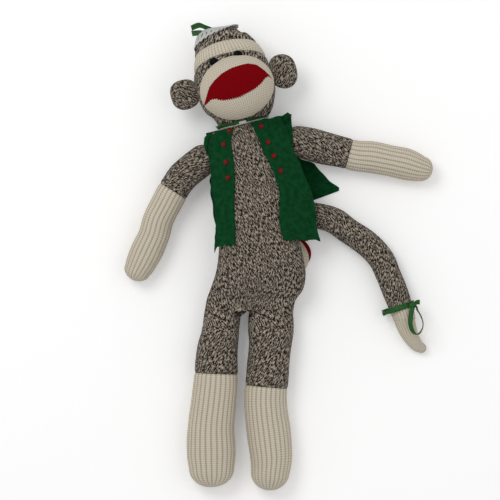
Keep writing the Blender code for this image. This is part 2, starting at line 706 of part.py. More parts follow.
def drape_heights(points, trees, slope=DRAPE_SLOPE):
    """Height of a stiff cloth over the bodies below: the lowest surface no steeper than the slope."""
    flat = np.array([(point.x, point.y) for point in points])
    low, high = flat.min(axis=0), flat.max(axis=0)
    margin = TORSO_WIDTH / 8
    step = TORSO_WIDTH / 40
    xs = np.arange(low[0] - margin, high[0] + margin, step)
    ys = np.arange(low[1] - margin, high[1] + margin, step)
    hits = []
    for x in xs:
        for y in ys:
            top = None
            for tree in trees:
                hit, _, _, _ = tree.ray_cast(Vector((x, y, OVERRUN)), Vector((0, 0, -1)))
                if hit and (top is None or hit.z > top):
                    top = hit.z
            if top is not None:
                hits.append((x, y, top))
    hits = np.array(hits)
    heights = []
    for x, y in flat:
        away = np.hypot(hits[:, 0] - x, hits[:, 1] - y)
        away = np.maximum(away - step / 2, 0)
        heights.append(float(np.max(hits[:, 2] - slope * away)) + DRAPE_GAP)
    return heights


def build_vest_front(side, parts, material, trees):
    """Felt front panel draped over the chest, hinged on the straight edge at its shoulder seam."""
    rows = []
    for inner_along, inner_across, outer_along, outer_across in FRONT_ROW_SHARES[side]:
        for j in range(FRONT_COLUMNS):
            t = j / (FRONT_COLUMNS - 1)
            along = inner_along + (outer_along - inner_along) * t
            across = inner_across + (outer_across - inner_across) * t
            rows.append(torso_place((along, across)))
    heights = drape_heights(rows, trees)
    for index, point in enumerate(rows):
        point.z = seam_height(side, point.x) if index < FRONT_COLUMNS else heights[index]
    bm = bmesh.new()
    verts = [bm.verts.new(point) for point in rows]
    for i in range(len(FRONT_ROW_SHARES[side]) - 1):
        for j in range(FRONT_COLUMNS - 1):
            a = i * FRONT_COLUMNS + j
            b = a + FRONT_COLUMNS
            bm.faces.new((verts[a], verts[a + 1], verts[b + 1], verts[b]))
    bm.normal_update()
    top = BVHTree.FromBMesh(bm)
    hinge = (rows[0] + rows[FRONT_COLUMNS - 1]) / 2
    add_sheet("vest_front_" + side, bm, parts, material, origin=hinge)
    return top


def build_beads(side, parts, material, surface):
    """Small domed beads down the front edge, each flat where it sits on the felt."""
    for number, share in enumerate(BEAD_SHARES[side], start=1):
        above = torso_place(share, OVERRUN)
        hit, normal, _, _ = surface.ray_cast(above, Vector((0, 0, -1)))
        if normal.z < 0:
            normal = -normal
        seat = hit + normal * (FELT + BEAD_SEAT)
        bm = bmesh.new()
        bmesh.ops.create_uvsphere(bm, u_segments=10, v_segments=7, radius=1)
        size = Matrix.Diagonal((BEAD_DIAMETER / 2, BEAD_DIAMETER / 2, BEAD_DOME))
        frame = normal.to_track_quat("Z", "Y").to_matrix()
        bmesh.ops.transform(bm, matrix=(frame @ size).to_4x4(), verts=bm.verts)
        bmesh.ops.translate(bm, vec=seat, verts=bm.verts)
        keep_side(bm, seat, -normal)
        add_object(f"bead_{side}_{number}", bm, parts, material, origin=seat)


def ring_band(name, centre, up, half_width, half_depth, width, flare, parts, material=None,
              thickness=RIBBON_THICKNESS, offset=0):
    """A flat ribbon closed round an oval and standing on edge; flare widens it toward its upper edge."""
    bm = bmesh.new()
    bmesh.ops.create_cone(bm, cap_ends=False, segments=BAND_SIDES, radius1=1 - flare, radius2=1 + flare, depth=1)
    side = Vector((up.y, -up.x, 0))
    frame = Matrix((side, -Vector((0, 0, 1)), up)).transposed()
    size = Matrix.Diagonal((half_width, half_depth, width))
    bmesh.ops.transform(bm, matrix=(frame @ size).to_4x4(), verts=bm.verts)
    bmesh.ops.recalc_face_normals(bm, faces=bm.faces)
    return add_ribbon(name, bm, parts, material, centre, thickness, offset)


def add_ribbon(name, bm, parts, material, origin, thickness=RIBBON_THICKNESS, offset=0):
    """An open bmesh round the origin given a thickness, to both sides unless an offset is given."""
    mesh = bpy.data.meshes.new(name)
    bm.to_mesh(mesh)
    bm.free()
    if material:
        mesh.materials.append(material)
    obj = bpy.data.objects.new(name, mesh)
    obj.location = origin
    parts.objects.link(obj)
    solid = obj.modifiers.new("ribbon", "SOLIDIFY")
    solid.thickness = thickness
    solid.offset = offset
    return obj


def ribbon_strip(name, path, across, width, parts, material, origin):
    """A flat ribbon along a path, with its width in the direction given for each point."""
    bm = bmesh.new()
    near = []
    far = []
    for point, direction in zip(path, across):
        half = direction.normalized() * width / 2
        near.append(bm.verts.new(point - origin - half))
        far.append(bm.verts.new(point - origin + half))
    for i in range(len(path) - 1):
        bm.faces.new((near[i], near[i + 1], far[i + 1], far[i]))
    bmesh.ops.triangulate(bm, faces=bm.faces)
    return add_ribbon(name, bm, parts, material, origin)


def knot(name, centre, radii, up, parts, material):
    """A small pulled knot: a ball a little flattened, with its length across the given direction."""
    bm = bmesh.new()
    bmesh.ops.create_uvsphere(bm, u_segments=12, v_segments=8, radius=1)
    side = Vector((up.y, -up.x, 0))
    frame = Matrix((side, up, Vector((0, 0, 1)))).transposed()
    bmesh.ops.transform(bm, matrix=(frame @ Matrix.Diagonal(radii)).to_4x4(), verts=bm.verts)
    bmesh.ops.translate(bm, vec=centre, verts=bm.verts)
    return add_object(name, bm, parts, material, origin=centre)


def build_neck_ribbons(parts, cutters, materials, head, muzzle_cutter):
    """Green ribbon round the neck, the white tie over its lower edge, and the tie's knot."""
    along, across, half, back, front = HEAD_SHARES[1]
    up = head_up()
    centre = head_place((along, across), (back + front) / 2 * HEAD_DEPTH)
    half_width = half * HEAD_WIDTH + BAND_GAP
    half_depth = (front - back) / 2 * HEAD_DEPTH + BAND_GAP
    ribbon = ring_band("neck_ribbon", centre, up, half_width, half_depth, RIBBON_WIDTH, NECK_FLARE, parts,
                       materials["satin"])
    cut(ribbon, muzzle_cutter)
    inset = RIBBON_THICKNESS / 2 + CLEARANCE
    room = RIBBON_WIDTH + 4 * CLEARANCE
    groove = ring_band("neck_groove", centre, up, half_width - inset, half_depth - inset, room,
                       NECK_FLARE * room / RIBBON_WIDTH, cutters, thickness=HEAD_WIDTH / 8, offset=1)
    hide_cutter(groove)
    cut(head, groove)
    step = RIBBON_THICKNESS + CLEARANCE
    drop = (RIBBON_WIDTH - TIE_WIDTH) / 2 - 2 * CLEARANCE
    lower = centre - up * drop
    tie = ring_band("neck_tie", lower, up, half_width + step / 2, half_depth + step / 2, TIE_WIDTH,
                    NECK_FLARE * TIE_WIDTH / RIBBON_WIDTH, parts, materials["white"])
    cut(tie, muzzle_cutter)
    place = lower + up * (TIE_KNOT[1] - TIE_WIDTH / 2)
    place.z = centre.z + half_depth + step + RIBBON_THICKNESS + TIE_KNOT[2]
    knot("neck_knot", place, TIE_KNOT, up, parts, materials["white"])


def build_crown_trim(parts, cutters, materials, crown_cutter):
    """Lace patch over the top of the crown, and two green ribbon ends that leave it to the left."""
    rows = np.array(swell_rows(HEAD_SHARES, head_place, HEAD_WIDTH, HEAD_DEPTH))
    rows[:, 3:] += LACE_THICKNESS + CLEARANCE
    cap = HEAD_CAP_SHARE * HEAD_HEIGHT + LACE_THICKNESS + CLEARANCE
    bm = loft(rows, 0, tip_cap=cap)
    edge = head_place(LACE_SHARE, HEAD_DEPTH / 2)
    turned = Matrix.Rotation(math.radians(LACE_TURN), 3, "Z") @ head_up()
    pitch = math.radians(LACE_PITCH)
    keep_side(bm, edge, Vector((0, 0, math.sin(pitch))) - turned * math.cos(pitch))
    lace = add_object("crown_lace", bm, parts, materials["lace"], origin=head_place((1, 0), HEAD_DEPTH / 2))
    cut(lace, crown_cutter)
    lace_cutter = swollen_copy("crown_lace_seat", lace, cutters)
    for name, shares in CROWN_RIBBON_SHARES.items():
        path = [head_place((along, across), height * HEAD_DEPTH) for along, across, height in shares]
        strip = ribbon_strip("crown_ribbon_" + name, path, [head_up()] * len(path), RIBBON_WIDTH, parts,
                             materials["satin"], path[0])
        for cutter in (crown_cutter, lace_cutter):
            cut(strip, cutter)


def build_tail_bow(parts, materials, joint, heading):
    """Green ribbon tied loosely round the tail's end, its knot, and one loop that lies over the tip."""
    side = Vector((-heading.y, heading.x, 0))
    rise = Vector((0, 0, 1))
    seam = joint - heading * (RIM_SETBACK + RIBBON_WIDTH / 2)
    half = TAIL_SHARES[-1][2] * TAIL_RADIUS + TAIL_BAND_GAP
    centre = seam - side * TAIL_BAND_SLACK
    centre.z = half + RIBBON_THICKNESS
    ring_band("tail_ribbon", centre, heading, half + TAIL_BAND_SLACK, half, RIBBON_WIDTH, 0, parts,
              materials["satin"])
    turn = math.radians(BOW_ANGLE)
    slack = half + TAIL_BAND_SLACK
    outward = (side * math.cos(turn) / slack + rise * math.sin(turn) / half).normalized()
    reach = math.hypot(BOW_KNOT[0] * outward.dot(side), BOW_KNOT[2] * outward.z) + RIBBON_THICKNESS / 2 + CLEARANCE
    place = centre + side * slack * math.cos(turn) + rise * half * math.sin(turn) + outward * reach
    knot("tail_knot", place, BOW_KNOT, heading, parts, materials["satin"])
    for name, shares in (("tail_loop", LOOP_SHARES), ("tail_ribbon_end", RIBBON_END_SHARES)):
        path = []
        across = []
        for x, y, z, lean in shares:
            path.append(place + Vector((x * TAIL_TIP_LENGTH, y * TAIL_TIP_LENGTH, z * RIBBON_WIDTH)))
            tilt = math.radians(lean)
            across.append(Vector((math.cos(tilt), 0, math.sin(tilt))))
        if name == "tail_ribbon_end":
            across = [Vector((0, 1, 0))] * len(path)
        ribbon_strip(name, path, across, RIBBON_WIDTH * LOOP_WIDTH_SHARE, parts, materials["satin"], place)


def build_seat(parts, cutters, materials, torso):
    """Cream knit round the red heel of the seat, both cut flat where the doll rests."""
    centre = torso_place(SEAT_SHARE, SEAT_RADII[2] * SEAT_RISE_SHARE)
    floor = Vector((0, 0, 0))
    inner = Vector((1, 1, 1)) * SEAT_BORDER
    red_centre = centre + Vector((SEAT_BORDER + SEAT_SHIFT, 0, -SEAT_SHIFT))
    made = []
    for name, middle, radii, slot in (("seat_patch", red_centre, Vector(SEAT_RADII) - inner, "red_knit"),
                                      ("seat_border", centre, Vector(SEAT_RADII), "cream")):
        bm = bmesh.new()
        bmesh.ops.create_uvsphere(bm, u_segments=28, v_segments=13, radius=1)
        bmesh.ops.transform(bm, matrix=Matrix.Diagonal(radii).to_4x4(), verts=bm.verts)
        bmesh.ops.translate(bm, vec=middle, verts=bm.verts)
        keep_side(bm, floor, Vector((0, 0, -1)))
        piece = add_object(name, bm, parts, materials[slot], origin=middle)
        for cutter in made:
            cut(piece, cutter)
        made.append(swollen_copy(name + "_seat", piece, cutters))
    for cutter in made:
        cut(torso, cutter)


def build_tail(parts, cutters, materials):
    """Tail that springs from the side of the seat, and its cream tip beyond the bow."""
    root = torso_place(TAIL_ROOT_SHARE, TAIL_RADIUS + TAIL_LIFT)
    end = TAIL_SHARES[-1][3] * TAIL_RADIUS + TAIL_BAND_GAP + RIBBON_THICKNESS
    upper = limb_rows(TAIL_SHARES, root, TAIL_LENGTH, TAIL_RADIUS, root.z, end)
    joint = Vector(upper[-1][:3])
    lower = limb_rows(TIP_SHARES, joint, TAIL_TIP_LENGTH, TAIL_RADIUS, joint.z,
                      TIP_SHARES[-1][3] * TAIL_RADIUS)
    heading = plan_heading(lower, 0)
    half = TIP_SHARES[0][2] * TAIL_RADIUS
    bm = loft(upper, 0, root_cap=TAIL_RADIUS, tip_cap=TAIL_RADIUS)
    keep_side(bm, joint - heading * RIM_SETBACK, heading)
    tail = add_object("tail", bm, parts, materials["marl"], origin=root)
    cut(tail, ball("tail_tip_seat", joint, half, half, heading, cutters))
    low = loft(lower, 0, root_cap=half, tip_cap=TIP_SHARES[-1][2] * TAIL_RADIUS)
    add_object("tail_tip", low, parts, materials["cream"], origin=joint)
    seat = ball("tail_seat", root, TAIL_RADIUS, TAIL_RADIUS, plan_heading(upper, 0), cutters)
    return tail, seat, joint, heading


def main():
    """Build every piece."""
    clear_scene()
    parts = new_collection("sock_monkey_doll")
    cutters = new_collection("cutters")
    materials = {
        "marl": make_material("brown_marl_knit", (0.13, 0.105, 0.085), 0.95),
        "cream": make_material("cream_rib_knit", (0.46, 0.42, 0.34), 0.95),
        "red_knit": make_material("red_heel_knit", (0.17, 0.004, 0.006), 0.95),
        "felt": make_material("green_felt", (0.004, 0.042, 0.014), 0.95),
        "satin": make_material("green_satin", (0.024, 0.10, 0.024), 0.35),
        "white": make_material("white_cord", (0.6, 0.6, 0.58), 0.7),
        "lace": make_material("white_lace", (0.5, 0.5, 0.49), 0.9),
        "red_bead": make_material("red_bead", (0.15, 0.004, 0.004), 0.2),
        "black": make_material("black_plastic", (0.003, 0.003, 0.003), 0.1),
    }
    torso = build_torso(parts, materials["marl"])
    heads, head_tree = build_head(parts, materials)
    head_cutters = [swollen_copy(name + "_seat", piece, cutters) for name, piece in heads.items()]
    muzzle, centre, muzzle_oval = build_muzzle(parts, cutters, materials, head_cutters)
    muzzle_cutter = add_object("muzzle_seat", muzzle_oval, cutters)
    hide_cutter(muzzle_cutter)
    build_eyes(parts, cutters, materials, head_tree, head_cutters + [muzzle_cutter])
    ears = {side: build_ear(side, parts, materials["marl"], head_tree) for side in ("left", "right")}

    for side in ("left", "right"):
        root = torso_place(SHOULDER_SHARES[side], SHOULDER_HEIGHT)
        heights = (SHOULDER_HEIGHT, ARM_RADIUS + ARM_LIFT, ARM_RADIUS - FLAT_DEPTH)
        build_limb(side, ("arm", "hand"), (ARM_SHARES[side], HAND_SHARES[side]), root,
                   (ARM_LENGTH, HAND_LENGTH), ARM_RADIUS, heights, ELBOW_MITRE, 1, parts, cutters, materials)
        cut(torso, ball(f"arm_{side}_seat", root, ARM_RADIUS, ARM_RADIUS, Vector((0, 1, 0)), cutters))
        root = torso_place(HIP_SHARES[side], LEG_RADIUS - FLAT_DEPTH)
        heights = (root.z, root.z, root.z)
        build_limb(side, ("leg", "foot"), (LEG_SHARES[side], FOOT_SHARES[side]), root,
                   (LEG_LENGTH, FOOT_LENGTH), LEG_RADIUS, heights, KNEE_MITRE, -1, parts, cutters, materials)
        half = LEG_SHARES[side][0][2] * LEG_RADIUS
        cut(torso, ball(f"leg_{side}_seat", root, half, LEG_RADIUS, Vector((0, 1, 0)), cutters))
        half = max(row[2] for row in LEG_SHARES[side]) * LEG_RADIUS
        cut(torso, fold_room(f"leg_{side}_fold", root, half, LEG_RADIUS, Vector((0, -1, 0)), HIP_FOLD, 1, cutters))
    tail, tail_seat, tail_joint, tail_heading = build_tail(parts, cutters, materials)
    cut(torso, tail_seat)
    build_tail_bow(parts, materials, tail_joint, tail_heading)
    build_seat(parts, cutters, materials, torso)
    build_neck_ribbons(parts, cutters, materials, heads["head"], muzzle_cutter)
    build_crown_trim(parts, cutters, materials, head_cutters[-1])

    cut(torso, build_vest_back(parts, cutters, materials["felt"]))
    depsgraph = bpy.context.evaluated_depsgraph_get()
    below = [torso, tail, bpy.data.objects["arm_left"], bpy.data.objects["arm_right"]]
    trees = [world_tree(obj, depsgraph) for obj in below]
    for side in ("left", "right"):
        surface = build_vest_front(side, parts, materials["felt"], trees)
        build_beads(side, parts, materials["red_bead"], surface)


if __name__ == "__main__":
    main()
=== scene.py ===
"""A sock monkey doll in a green felt vest, lying on its back.

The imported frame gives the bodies, the joints and the places. Every stuffed
form, sheet and ribbon is a surface worked out with numpy over that frame.
Run it as a script in Blender 4.5.
"""
import json
import math

import bmesh
import bpy
import numpy as np
from bpy.props import FloatProperty, FloatVectorProperty, PointerProperty
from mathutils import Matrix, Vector


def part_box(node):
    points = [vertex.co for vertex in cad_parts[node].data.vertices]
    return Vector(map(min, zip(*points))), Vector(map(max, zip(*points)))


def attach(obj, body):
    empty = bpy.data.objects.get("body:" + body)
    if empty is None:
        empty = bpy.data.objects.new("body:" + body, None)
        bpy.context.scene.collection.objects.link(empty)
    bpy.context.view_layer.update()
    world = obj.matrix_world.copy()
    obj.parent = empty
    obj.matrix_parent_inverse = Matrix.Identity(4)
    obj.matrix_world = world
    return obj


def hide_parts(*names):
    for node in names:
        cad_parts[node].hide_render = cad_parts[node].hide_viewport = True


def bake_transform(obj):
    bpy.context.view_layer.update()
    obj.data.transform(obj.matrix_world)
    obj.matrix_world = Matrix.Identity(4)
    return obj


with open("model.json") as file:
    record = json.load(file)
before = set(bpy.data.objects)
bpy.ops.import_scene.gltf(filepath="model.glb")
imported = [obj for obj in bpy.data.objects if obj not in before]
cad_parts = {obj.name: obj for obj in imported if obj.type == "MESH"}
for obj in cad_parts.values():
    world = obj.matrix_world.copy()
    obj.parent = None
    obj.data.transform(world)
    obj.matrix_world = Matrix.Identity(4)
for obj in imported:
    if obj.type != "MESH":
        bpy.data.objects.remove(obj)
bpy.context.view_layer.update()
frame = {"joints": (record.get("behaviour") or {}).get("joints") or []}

bl_info = {
    "name": "Sock Monkey Doll",
    "version": (1, 0, 0),
    "blender": (4, 5, 0),
    "location": "3D View > Sidebar > Doll",
    "description": "Knitted doll with a felt vest, ribbons and a lace cap, piece by piece",
    "category": "Add Mesh",
}

# Sizes of the doll's forms, in metres.
TORSO_LENGTH = 0.218
TORSO_WIDTH = 0.103
TORSO_DEPTH = 0.071
HEAD_HEIGHT = 0.107
HEAD_WIDTH = 0.0865
HEAD_DEPTH = 0.074
MUZZLE_WIDTH = 0.083
MUZZLE_HEIGHT = 0.070
MUZZLE_DEPTH = 0.076
EYE_WIDTH = 0.0105
EYE_HEIGHT = 0.0090
EYE_DOME = 0.0035
EAR_SPAN = 0.034
EAR_HEIGHT = 0.036
EAR_THICKNESS = 0.013
ARM_RADIUS = 0.0172
ARM_LENGTH = 0.056
HAND_LENGTH = 0.086
LEG_RADIUS = 0.0208
LEG_LENGTH = 0.072
FOOT_LENGTH = 0.112
TAIL_RADIUS = 0.0148
TAIL_LENGTH = 0.160
TAIL_TIP_LENGTH = 0.050
SHOULDER_HEIGHT = 0.029
ARM_LIFT = 0.0035
TAIL_LIFT = 0.0018
FLAT_DEPTH = 0.0005
BEAD_DIAMETER = 0.0064
BEAD_DOME = 0.0030
RIBBON_WIDTH = 0.0062
RIBBON_THICKNESS = 0.0005
TIE_WIDTH = 0.0020
SEAT_RADII = (0.0385, 0.0290, 0.0150)
SEAT_BORDER = 0.0060
SEAM_HEIGHTS = {"left": (0.0605, 0.0430), "right": (0.0620, 0.0490)}
HEAD_TILT = 14.0
CAP_PITCH = 22.0
MUZZLE_TILT = 17.5
CLEARANCE = 0.0003

# Where the resting point lies along the torso, from the neck
REST_SHARE = 0.347

# Torso: share along, across, half width, back height, front height
TORSO_SHARES = [
    (-0.07, -0.155, 0.27, 0.20, 0.78),
    (0.00, -0.145, 0.28, 0.16, 0.79),
    (0.05, -0.105, 0.385, 0.06, 0.86),
    (0.14, -0.043, 0.410, -0.01, 0.93),
    (0.25, -0.005, 0.430, -0.01, 0.97),
    (0.40, 0.020, 0.437, -0.01, 1.00),
    (0.55, 0.040, 0.427, -0.01, 1.00),
    (0.67, 0.060, 0.450, -0.01, 0.98),
    (0.77, 0.062, 0.485, -0.01, 0.93),
    (0.85, 0.020, 0.500, -0.01, 0.80),
    (0.92, -0.0485, 0.4795, -0.01, 0.64),
    (1.02, -0.060, 0.489, -0.01, 0.60),
]
VEST_HEM_SHARE = 0.63

# Head: share of height from the neck, across share of width, half width, back, front shares
HEAD_SHARES = [
    (-0.06, 0.01, 0.295, 0.20, 0.72),
    (0.00, 0.01, 0.315, 0.17, 0.76),
    (0.12, 0.03, 0.42, 0.04, 0.90),
    (0.26, 0.035, 0.49, -0.01, 0.99),
    (0.40, 0.03, 0.50, -0.01, 1.00),
    (0.56, 0.025, 0.485, -0.01, 0.98),
    (0.70, 0.015, 0.44, 0.02, 0.94),
    (0.80, 0.005, 0.385, 0.07, 0.88),
    (0.90, 0.00, 0.315, 0.14, 0.80),
    (0.965, 0.01, 0.23, 0.24, 0.70),
]
HEAD_CAP_SHARE = 0.035
BAND_BOTTOM_SHARE = 0.60
BAND_TOP_SHARE = 0.755

# Limbs: share of the length along X and Y from the joint, half width share, height share
ARM_SHARES = {
    "left": [(0, 0, 1, 1), (-0.37, -0.30, 1.0, 0.97), (-0.60, -0.62, 1.0, 0.98), (-0.75, -0.90, 1.0, 1)],
    "right": [(0, 0, 1, 1), (0.44, -0.11, 1.07, 1), (0.86, -0.21, 1.0, 1), (1.15, -0.28, 0.98, 1)],
}
HAND_SHARES = {
    "left": [(0, 0, 1, 1), (-0.10, -0.20, 1.0, 0.98), (-0.16, -0.41, 1.01, 0.98),
             (-0.25, -0.61, 1.04, 0.98), (-0.34, -0.80, 0.98, 0.94), (-0.39, -0.90, 0.86, 0.86)],
    "right": [(0, 0, 1, 1), (0.21, -0.02, 1.03, 1), (0.44, -0.065, 1.0, 0.98),
              (0.65, -0.11, 1.02, 0.98), (0.82, -0.16, 0.90, 0.92), (0.88, -0.175, 0.80, 0.84)],
}
LEG_SHARES = {
    "left": [(0, 0, 0.99, 1), (-0.03, -0.24, 0.99, 1), (-0.075, -0.52, 1.08, 1), (-0.10, -1.0, 1.17, 1)],
    "right": [(0, 0, 1.22, 1), (0, -0.20, 1.22, 1), (-0.015, -0.50, 1.12, 1), (-0.08, -1.16, 1.14, 1)],
}
FOOT_SHARES = {
    "left": [(0, 0, 1.17, 1), (-0.02, -0.20, 1.20, 1), (-0.045, -0.44, 1.24, 1),
             (-0.043, -0.69, 1.30, 1), (-0.04, -0.86, 1.20, 0.96)],
    "right": [(0, 0, 1.14, 1), (0.005, -0.19, 1.15, 1), (0.035, -0.44, 1.18, 1),
              (0.055, -0.64, 1.12, 1), (0.045, -0.79, 1.02, 0.94)],
}
TAIL_SHARES = [
    (0, 0, 0.98, 1), (0.22, -0.04, 0.98, 1), (0.36, -0.128, 0.98, 1), (0.50, -0.229, 0.98, 0.98),
    (0.58, -0.32, 0.97, 0.96), (0.63, -0.43, 0.96, 0.95), (0.675, -0.54, 0.95, 0.93),
    (0.7375, -0.714, 0.84, 0.84),
]
TIP_SHARES = [
    (0, 0, 0.84, 0.84), (0.035, -0.14, 0.76, 0.78), (0.128, -0.392, 0.66, 0.70), (0.282, -0.636, 0.50, 0.56),
    (0.404, -0.724, 0.38, 0.44),
]

# Joint places on the torso: share of length from the neck, share of width across
SHOULDER_SHARES = {"left": (0.194, -0.560), "right": (0.0995, 0.474)}
HIP_SHARES = {"left": (1.0, -0.356), "right": (1.0, 0.172)}
TAIL_ROOT_SHARE = (0.464, 0.463)

# Vest back rows: left along, across, right along, across, height share of the torso depth
BACK_ROW_SHARES = [
    (0.582, -0.410, 0.352, 0.895, 0), (0.439, -0.458, 0.335, 0.911, 0), (0.337, -0.485, 0.283, 0.776, 0),
    (0.276, -0.485, 0.209, 0.636, 0), (0.214, -0.453, 0.179, 0.474, 0), (0.153, -0.453, 0.122, 0.41, 0.003),
    (0.110, -0.48, 0.071, 0.395, 0.003), (0.080, -0.51, 0.025, 0.392, 0.03), (0.064, -0.525, -0.012, 0.390, 0.20),
    (0.059, -0.530, -0.030, 0.390, 0.40), (0.059, -0.525, -0.038, 0.390, 0.52),
]
BACK_COLUMN_SHARES = (0, 0.07, 0.14, 0.28, 0.43, 0.57, 0.71, 0.80, 0.90, 1.0)
STRAP_ROWS = 6
STRAP_COLUMNS = (2, 6)
BACK_STEPS = 12

# Vest front rows: inner along, across, outer along, across
FRONT_ROW_SHARES = {
    "left": [(0.034, -0.225, 0.062, -0.507), (0.092, -0.253, 0.092, -0.544), (0.143, -0.248, 0.143, -0.533),
             (0.194, -0.232, 0.194, -0.490), (0.255, -0.220, 0.270, -0.469), (0.337, -0.216, 0.337, -0.469),
             (0.418, -0.226, 0.418, -0.437), (0.485, -0.216, 0.485, -0.426), (0.551, -0.212, 0.551, -0.426),
             (0.627, -0.205, 0.633, -0.436)],
    "right": [(0.012, -0.040, -0.038, 0.388), (0.071, 0.016, 0.071, 0.404), (0.143, 0.075, 0.143, 0.410),
              (0.204, 0.140, 0.204, 0.474), (0.281, 0.210, 0.281, 0.539), (0.352, 0.256, 0.352, 0.603),
              (0.418, 0.259, 0.418, 0.641), (0.485, 0.255, 0.485, 0.657), (0.546, 0.275, 0.546, 0.670),
              (0.602, 0.300, 0.604, 0.700)],
}
DRAPE_SLOPE = 0.72
BEAD_SHARES = {
    "left": [(0.050, -0.262), (0.119, -0.325), (0.209, -0.304), (0.288, -0.282)],
    "right": [(0.027, 0.056), (0.110, 0.131), (0.179, 0.194), (0.253, 0.264)],
}

# Face: shares of the head's height from the neck and of its width across
MUZZLE_SHARE = (0.345, 0.047)
EYE_SHARES = {"left": (0.655, -0.160), "right": (0.668, 0.160)}
# Mouth outline: shares of the muzzle's width and height from its centre
MOUTH_SHARES = [
    (-0.487, -0.124), (-0.417, 0.003), (-0.352, 0.115), (-0.259, 0.198), (-0.142, 0.258), (0.013, 0.301),
    (0.128, 0.308), (0.232, 0.291), (0.337, 0.230), (0.407, 0.119), (0.452, 0.017), (0.471, -0.048),
    (0.434, 0.004), (0.388, -0.009), (0.333, -0.056), (0.231, -0.111), (0.122, -0.147), (0.001, -0.170),
    (-0.110, -0.162), (-0.221, -0.147), (-0.272, -0.120), (-0.312, -0.086), (-0.372, -0.072), (-0.439, -0.107),
]

# Lace edge on the crown: share of the head's height and width at the middle of the edge
LACE_SHARE = (0.920, -0.088)
# Crown ribbons: places as shares of the head's height and width from the neck, and of its depth
CROWN_RIBBON_SHARES = {
    "upper": [(0.985, -0.065, 0.52), (1.030, -0.150, 0.57), (1.070, -0.229, 0.60), (1.060, -0.335, 0.60)],
    "lower": [(0.970, -0.070, 0.50), (0.976, -0.165, 0.53), (0.997, -0.250, 0.53), (1.010, -0.345, 0.50)],
}
# Seat patch: share of the torso's length and width at its middle
SEAT_SHARE = (0.690, 0.213)
SEAT_RISE_SHARE = 0.75
# The red heel's middle from the middle of its cream border, in metres
SEAT_INSET = (SEAT_BORDER + 0.0022, 0.0040, -0.0010)
# Tail bow loop from the knot: shares of the tip's length along X and Y, of the ribbon's width up, lean in degrees
LOOP_SHARES = [
    (-0.010, -0.085, 0.55, 5), (-0.030, -0.16, 0.6, 10), (-0.045, -0.28, 0.6, 15), (-0.05, -0.42, 0.6, 20),
    (-0.005, -0.57, 0.6, 30), (0.07, -0.645, 0.6, 50), (0.15, -0.62, 0.6, 70), (0.215, -0.51, 0.6, 85),
    (0.225, -0.38, 0.6, 85), (0.175, -0.23, 0.5, 80), (0.105, -0.11, 0.25, 75), (0.077, -0.020, 0.05, 75),
]
# Short ribbon end beside the knot, in the same shares
RIBBON_END_SHARES = [(0.082, 0.06, 0.0, 0), (0.12, 0.07, 0.05, 0), (0.16, 0.065, 0.0, 0)]

SIDES = ("left", "right")
UPWARDS = np.array([0.0, 0.0, 1.0])
# Spacing of a limb's rings, and the length of the rounded end at a sewn seam, in metres
PATH_SPACING = 0.0011
SEAM_CAP = 0.0016
# Points that meet are welded within this distance, in metres
WELD_DISTANCE = 0.00001


def linear(code):
    """Linear red, green, blue and alpha of an sRGB hex colour."""
    srgb = np.array([int(code[i:i + 2], 16) for i in (0, 2, 4)]) / 255
    lit = np.where(srgb <= 0.04045, srgb / 12.92, ((srgb + 0.055) / 1.055) ** 2.4)
    return (*lit.tolist(), 1.0)


def colour(name, code, description):
    """A colour setting of the panel, given as sRGB hex."""
    return FloatVectorProperty(name=name, description=description, subtype="COLOR", size=4,
                               min=0.0, max=1.0, default=linear(code))


def length(name, metres, description):
    """A length setting of the panel."""
    return FloatProperty(name=name, description=description, unit="LENGTH", precision=4,
                         min=0.00005, max=5.0, default=metres)


class DollKnit(bpy.types.PropertyGroup):
    """Sizes and colours of the knitted fabrics."""

    stitch: length("Stitch width", 0.0019, "Width of one column of stitches")
    course: length("Course height", 0.0012, "Height of one row of stitches")
    rib: length("Rib pitch", 0.0052, "Distance between two ribs of the cream knit")
    rib_height: length("Rib height", 0.0005, "How far a rib stands above its groove")
    fine_rib: length("Fine rib pitch", 0.0027, "Distance between two ribs on the muzzle and the cap band")
    lump: length("Stuffing lumps", 0.0006, "How far the stuffing pushes the fabric out unevenly")
    marl_dark: colour("Marl dark", "251b14", "Brown ply of the marl yarn")
    marl_light: colour("Marl light", "bfb4a4", "Cream ply of the marl yarn")
    cream: colour("Cream", "d3cab9", "Cream yarn")
    # Painted shade: the darker cream of the rib grooves and of the dots in them, which are the same yarn as the ribs.
    cream_shade: colour("Cream groove", "a89c87", "Cream yarn between the ribs")
    red: colour("Red", "78060e", "Red yarn")


class DollTrim(bpy.types.PropertyGroup):
    """Sizes and colours of the felt, ribbons, lace, beads and eyes."""

    felt: length("Felt thickness", 0.0013, "Thickness of the vest's felt")
    fold: length("Vest folds", 0.0011, "Depth of the soft folds in the vest fronts")
    felt_colour: colour("Felt", "08341a", "Colour of the felt")
    felt_light: colour("Felt fibres", "104524", "Colour of the felt's raised fibres")
    satin_colour: colour("Satin", "194f1b", "Colour of the satin ribbon")
    tie_colour: colour("White tie", "d8d6d2", "Colour of the narrow tie")
    lace_colour: colour("Lace", "c9c9c6", "Colour of the lace thread")
    bead_colour: colour("Bead", "6c0b0c", "Colour of the glass beads")
    eye_colour: colour("Eye", "040506", "Colour of the eyes")


class DollStage(bpy.types.PropertyGroup):
    """The floor, the lamps and the camera."""

    floor: colour("Floor", "ffffff", "Colour of the floor")
    light: FloatProperty(name="Light", description="Strength of all lamps together", min=0.0, max=10.0, default=1.0)
    camera_height: length("Camera height", 4.0, "Height of the lens over the floor")
    view_width: length("View width", 0.555, "Width that the picture takes in at the doll's middle height")


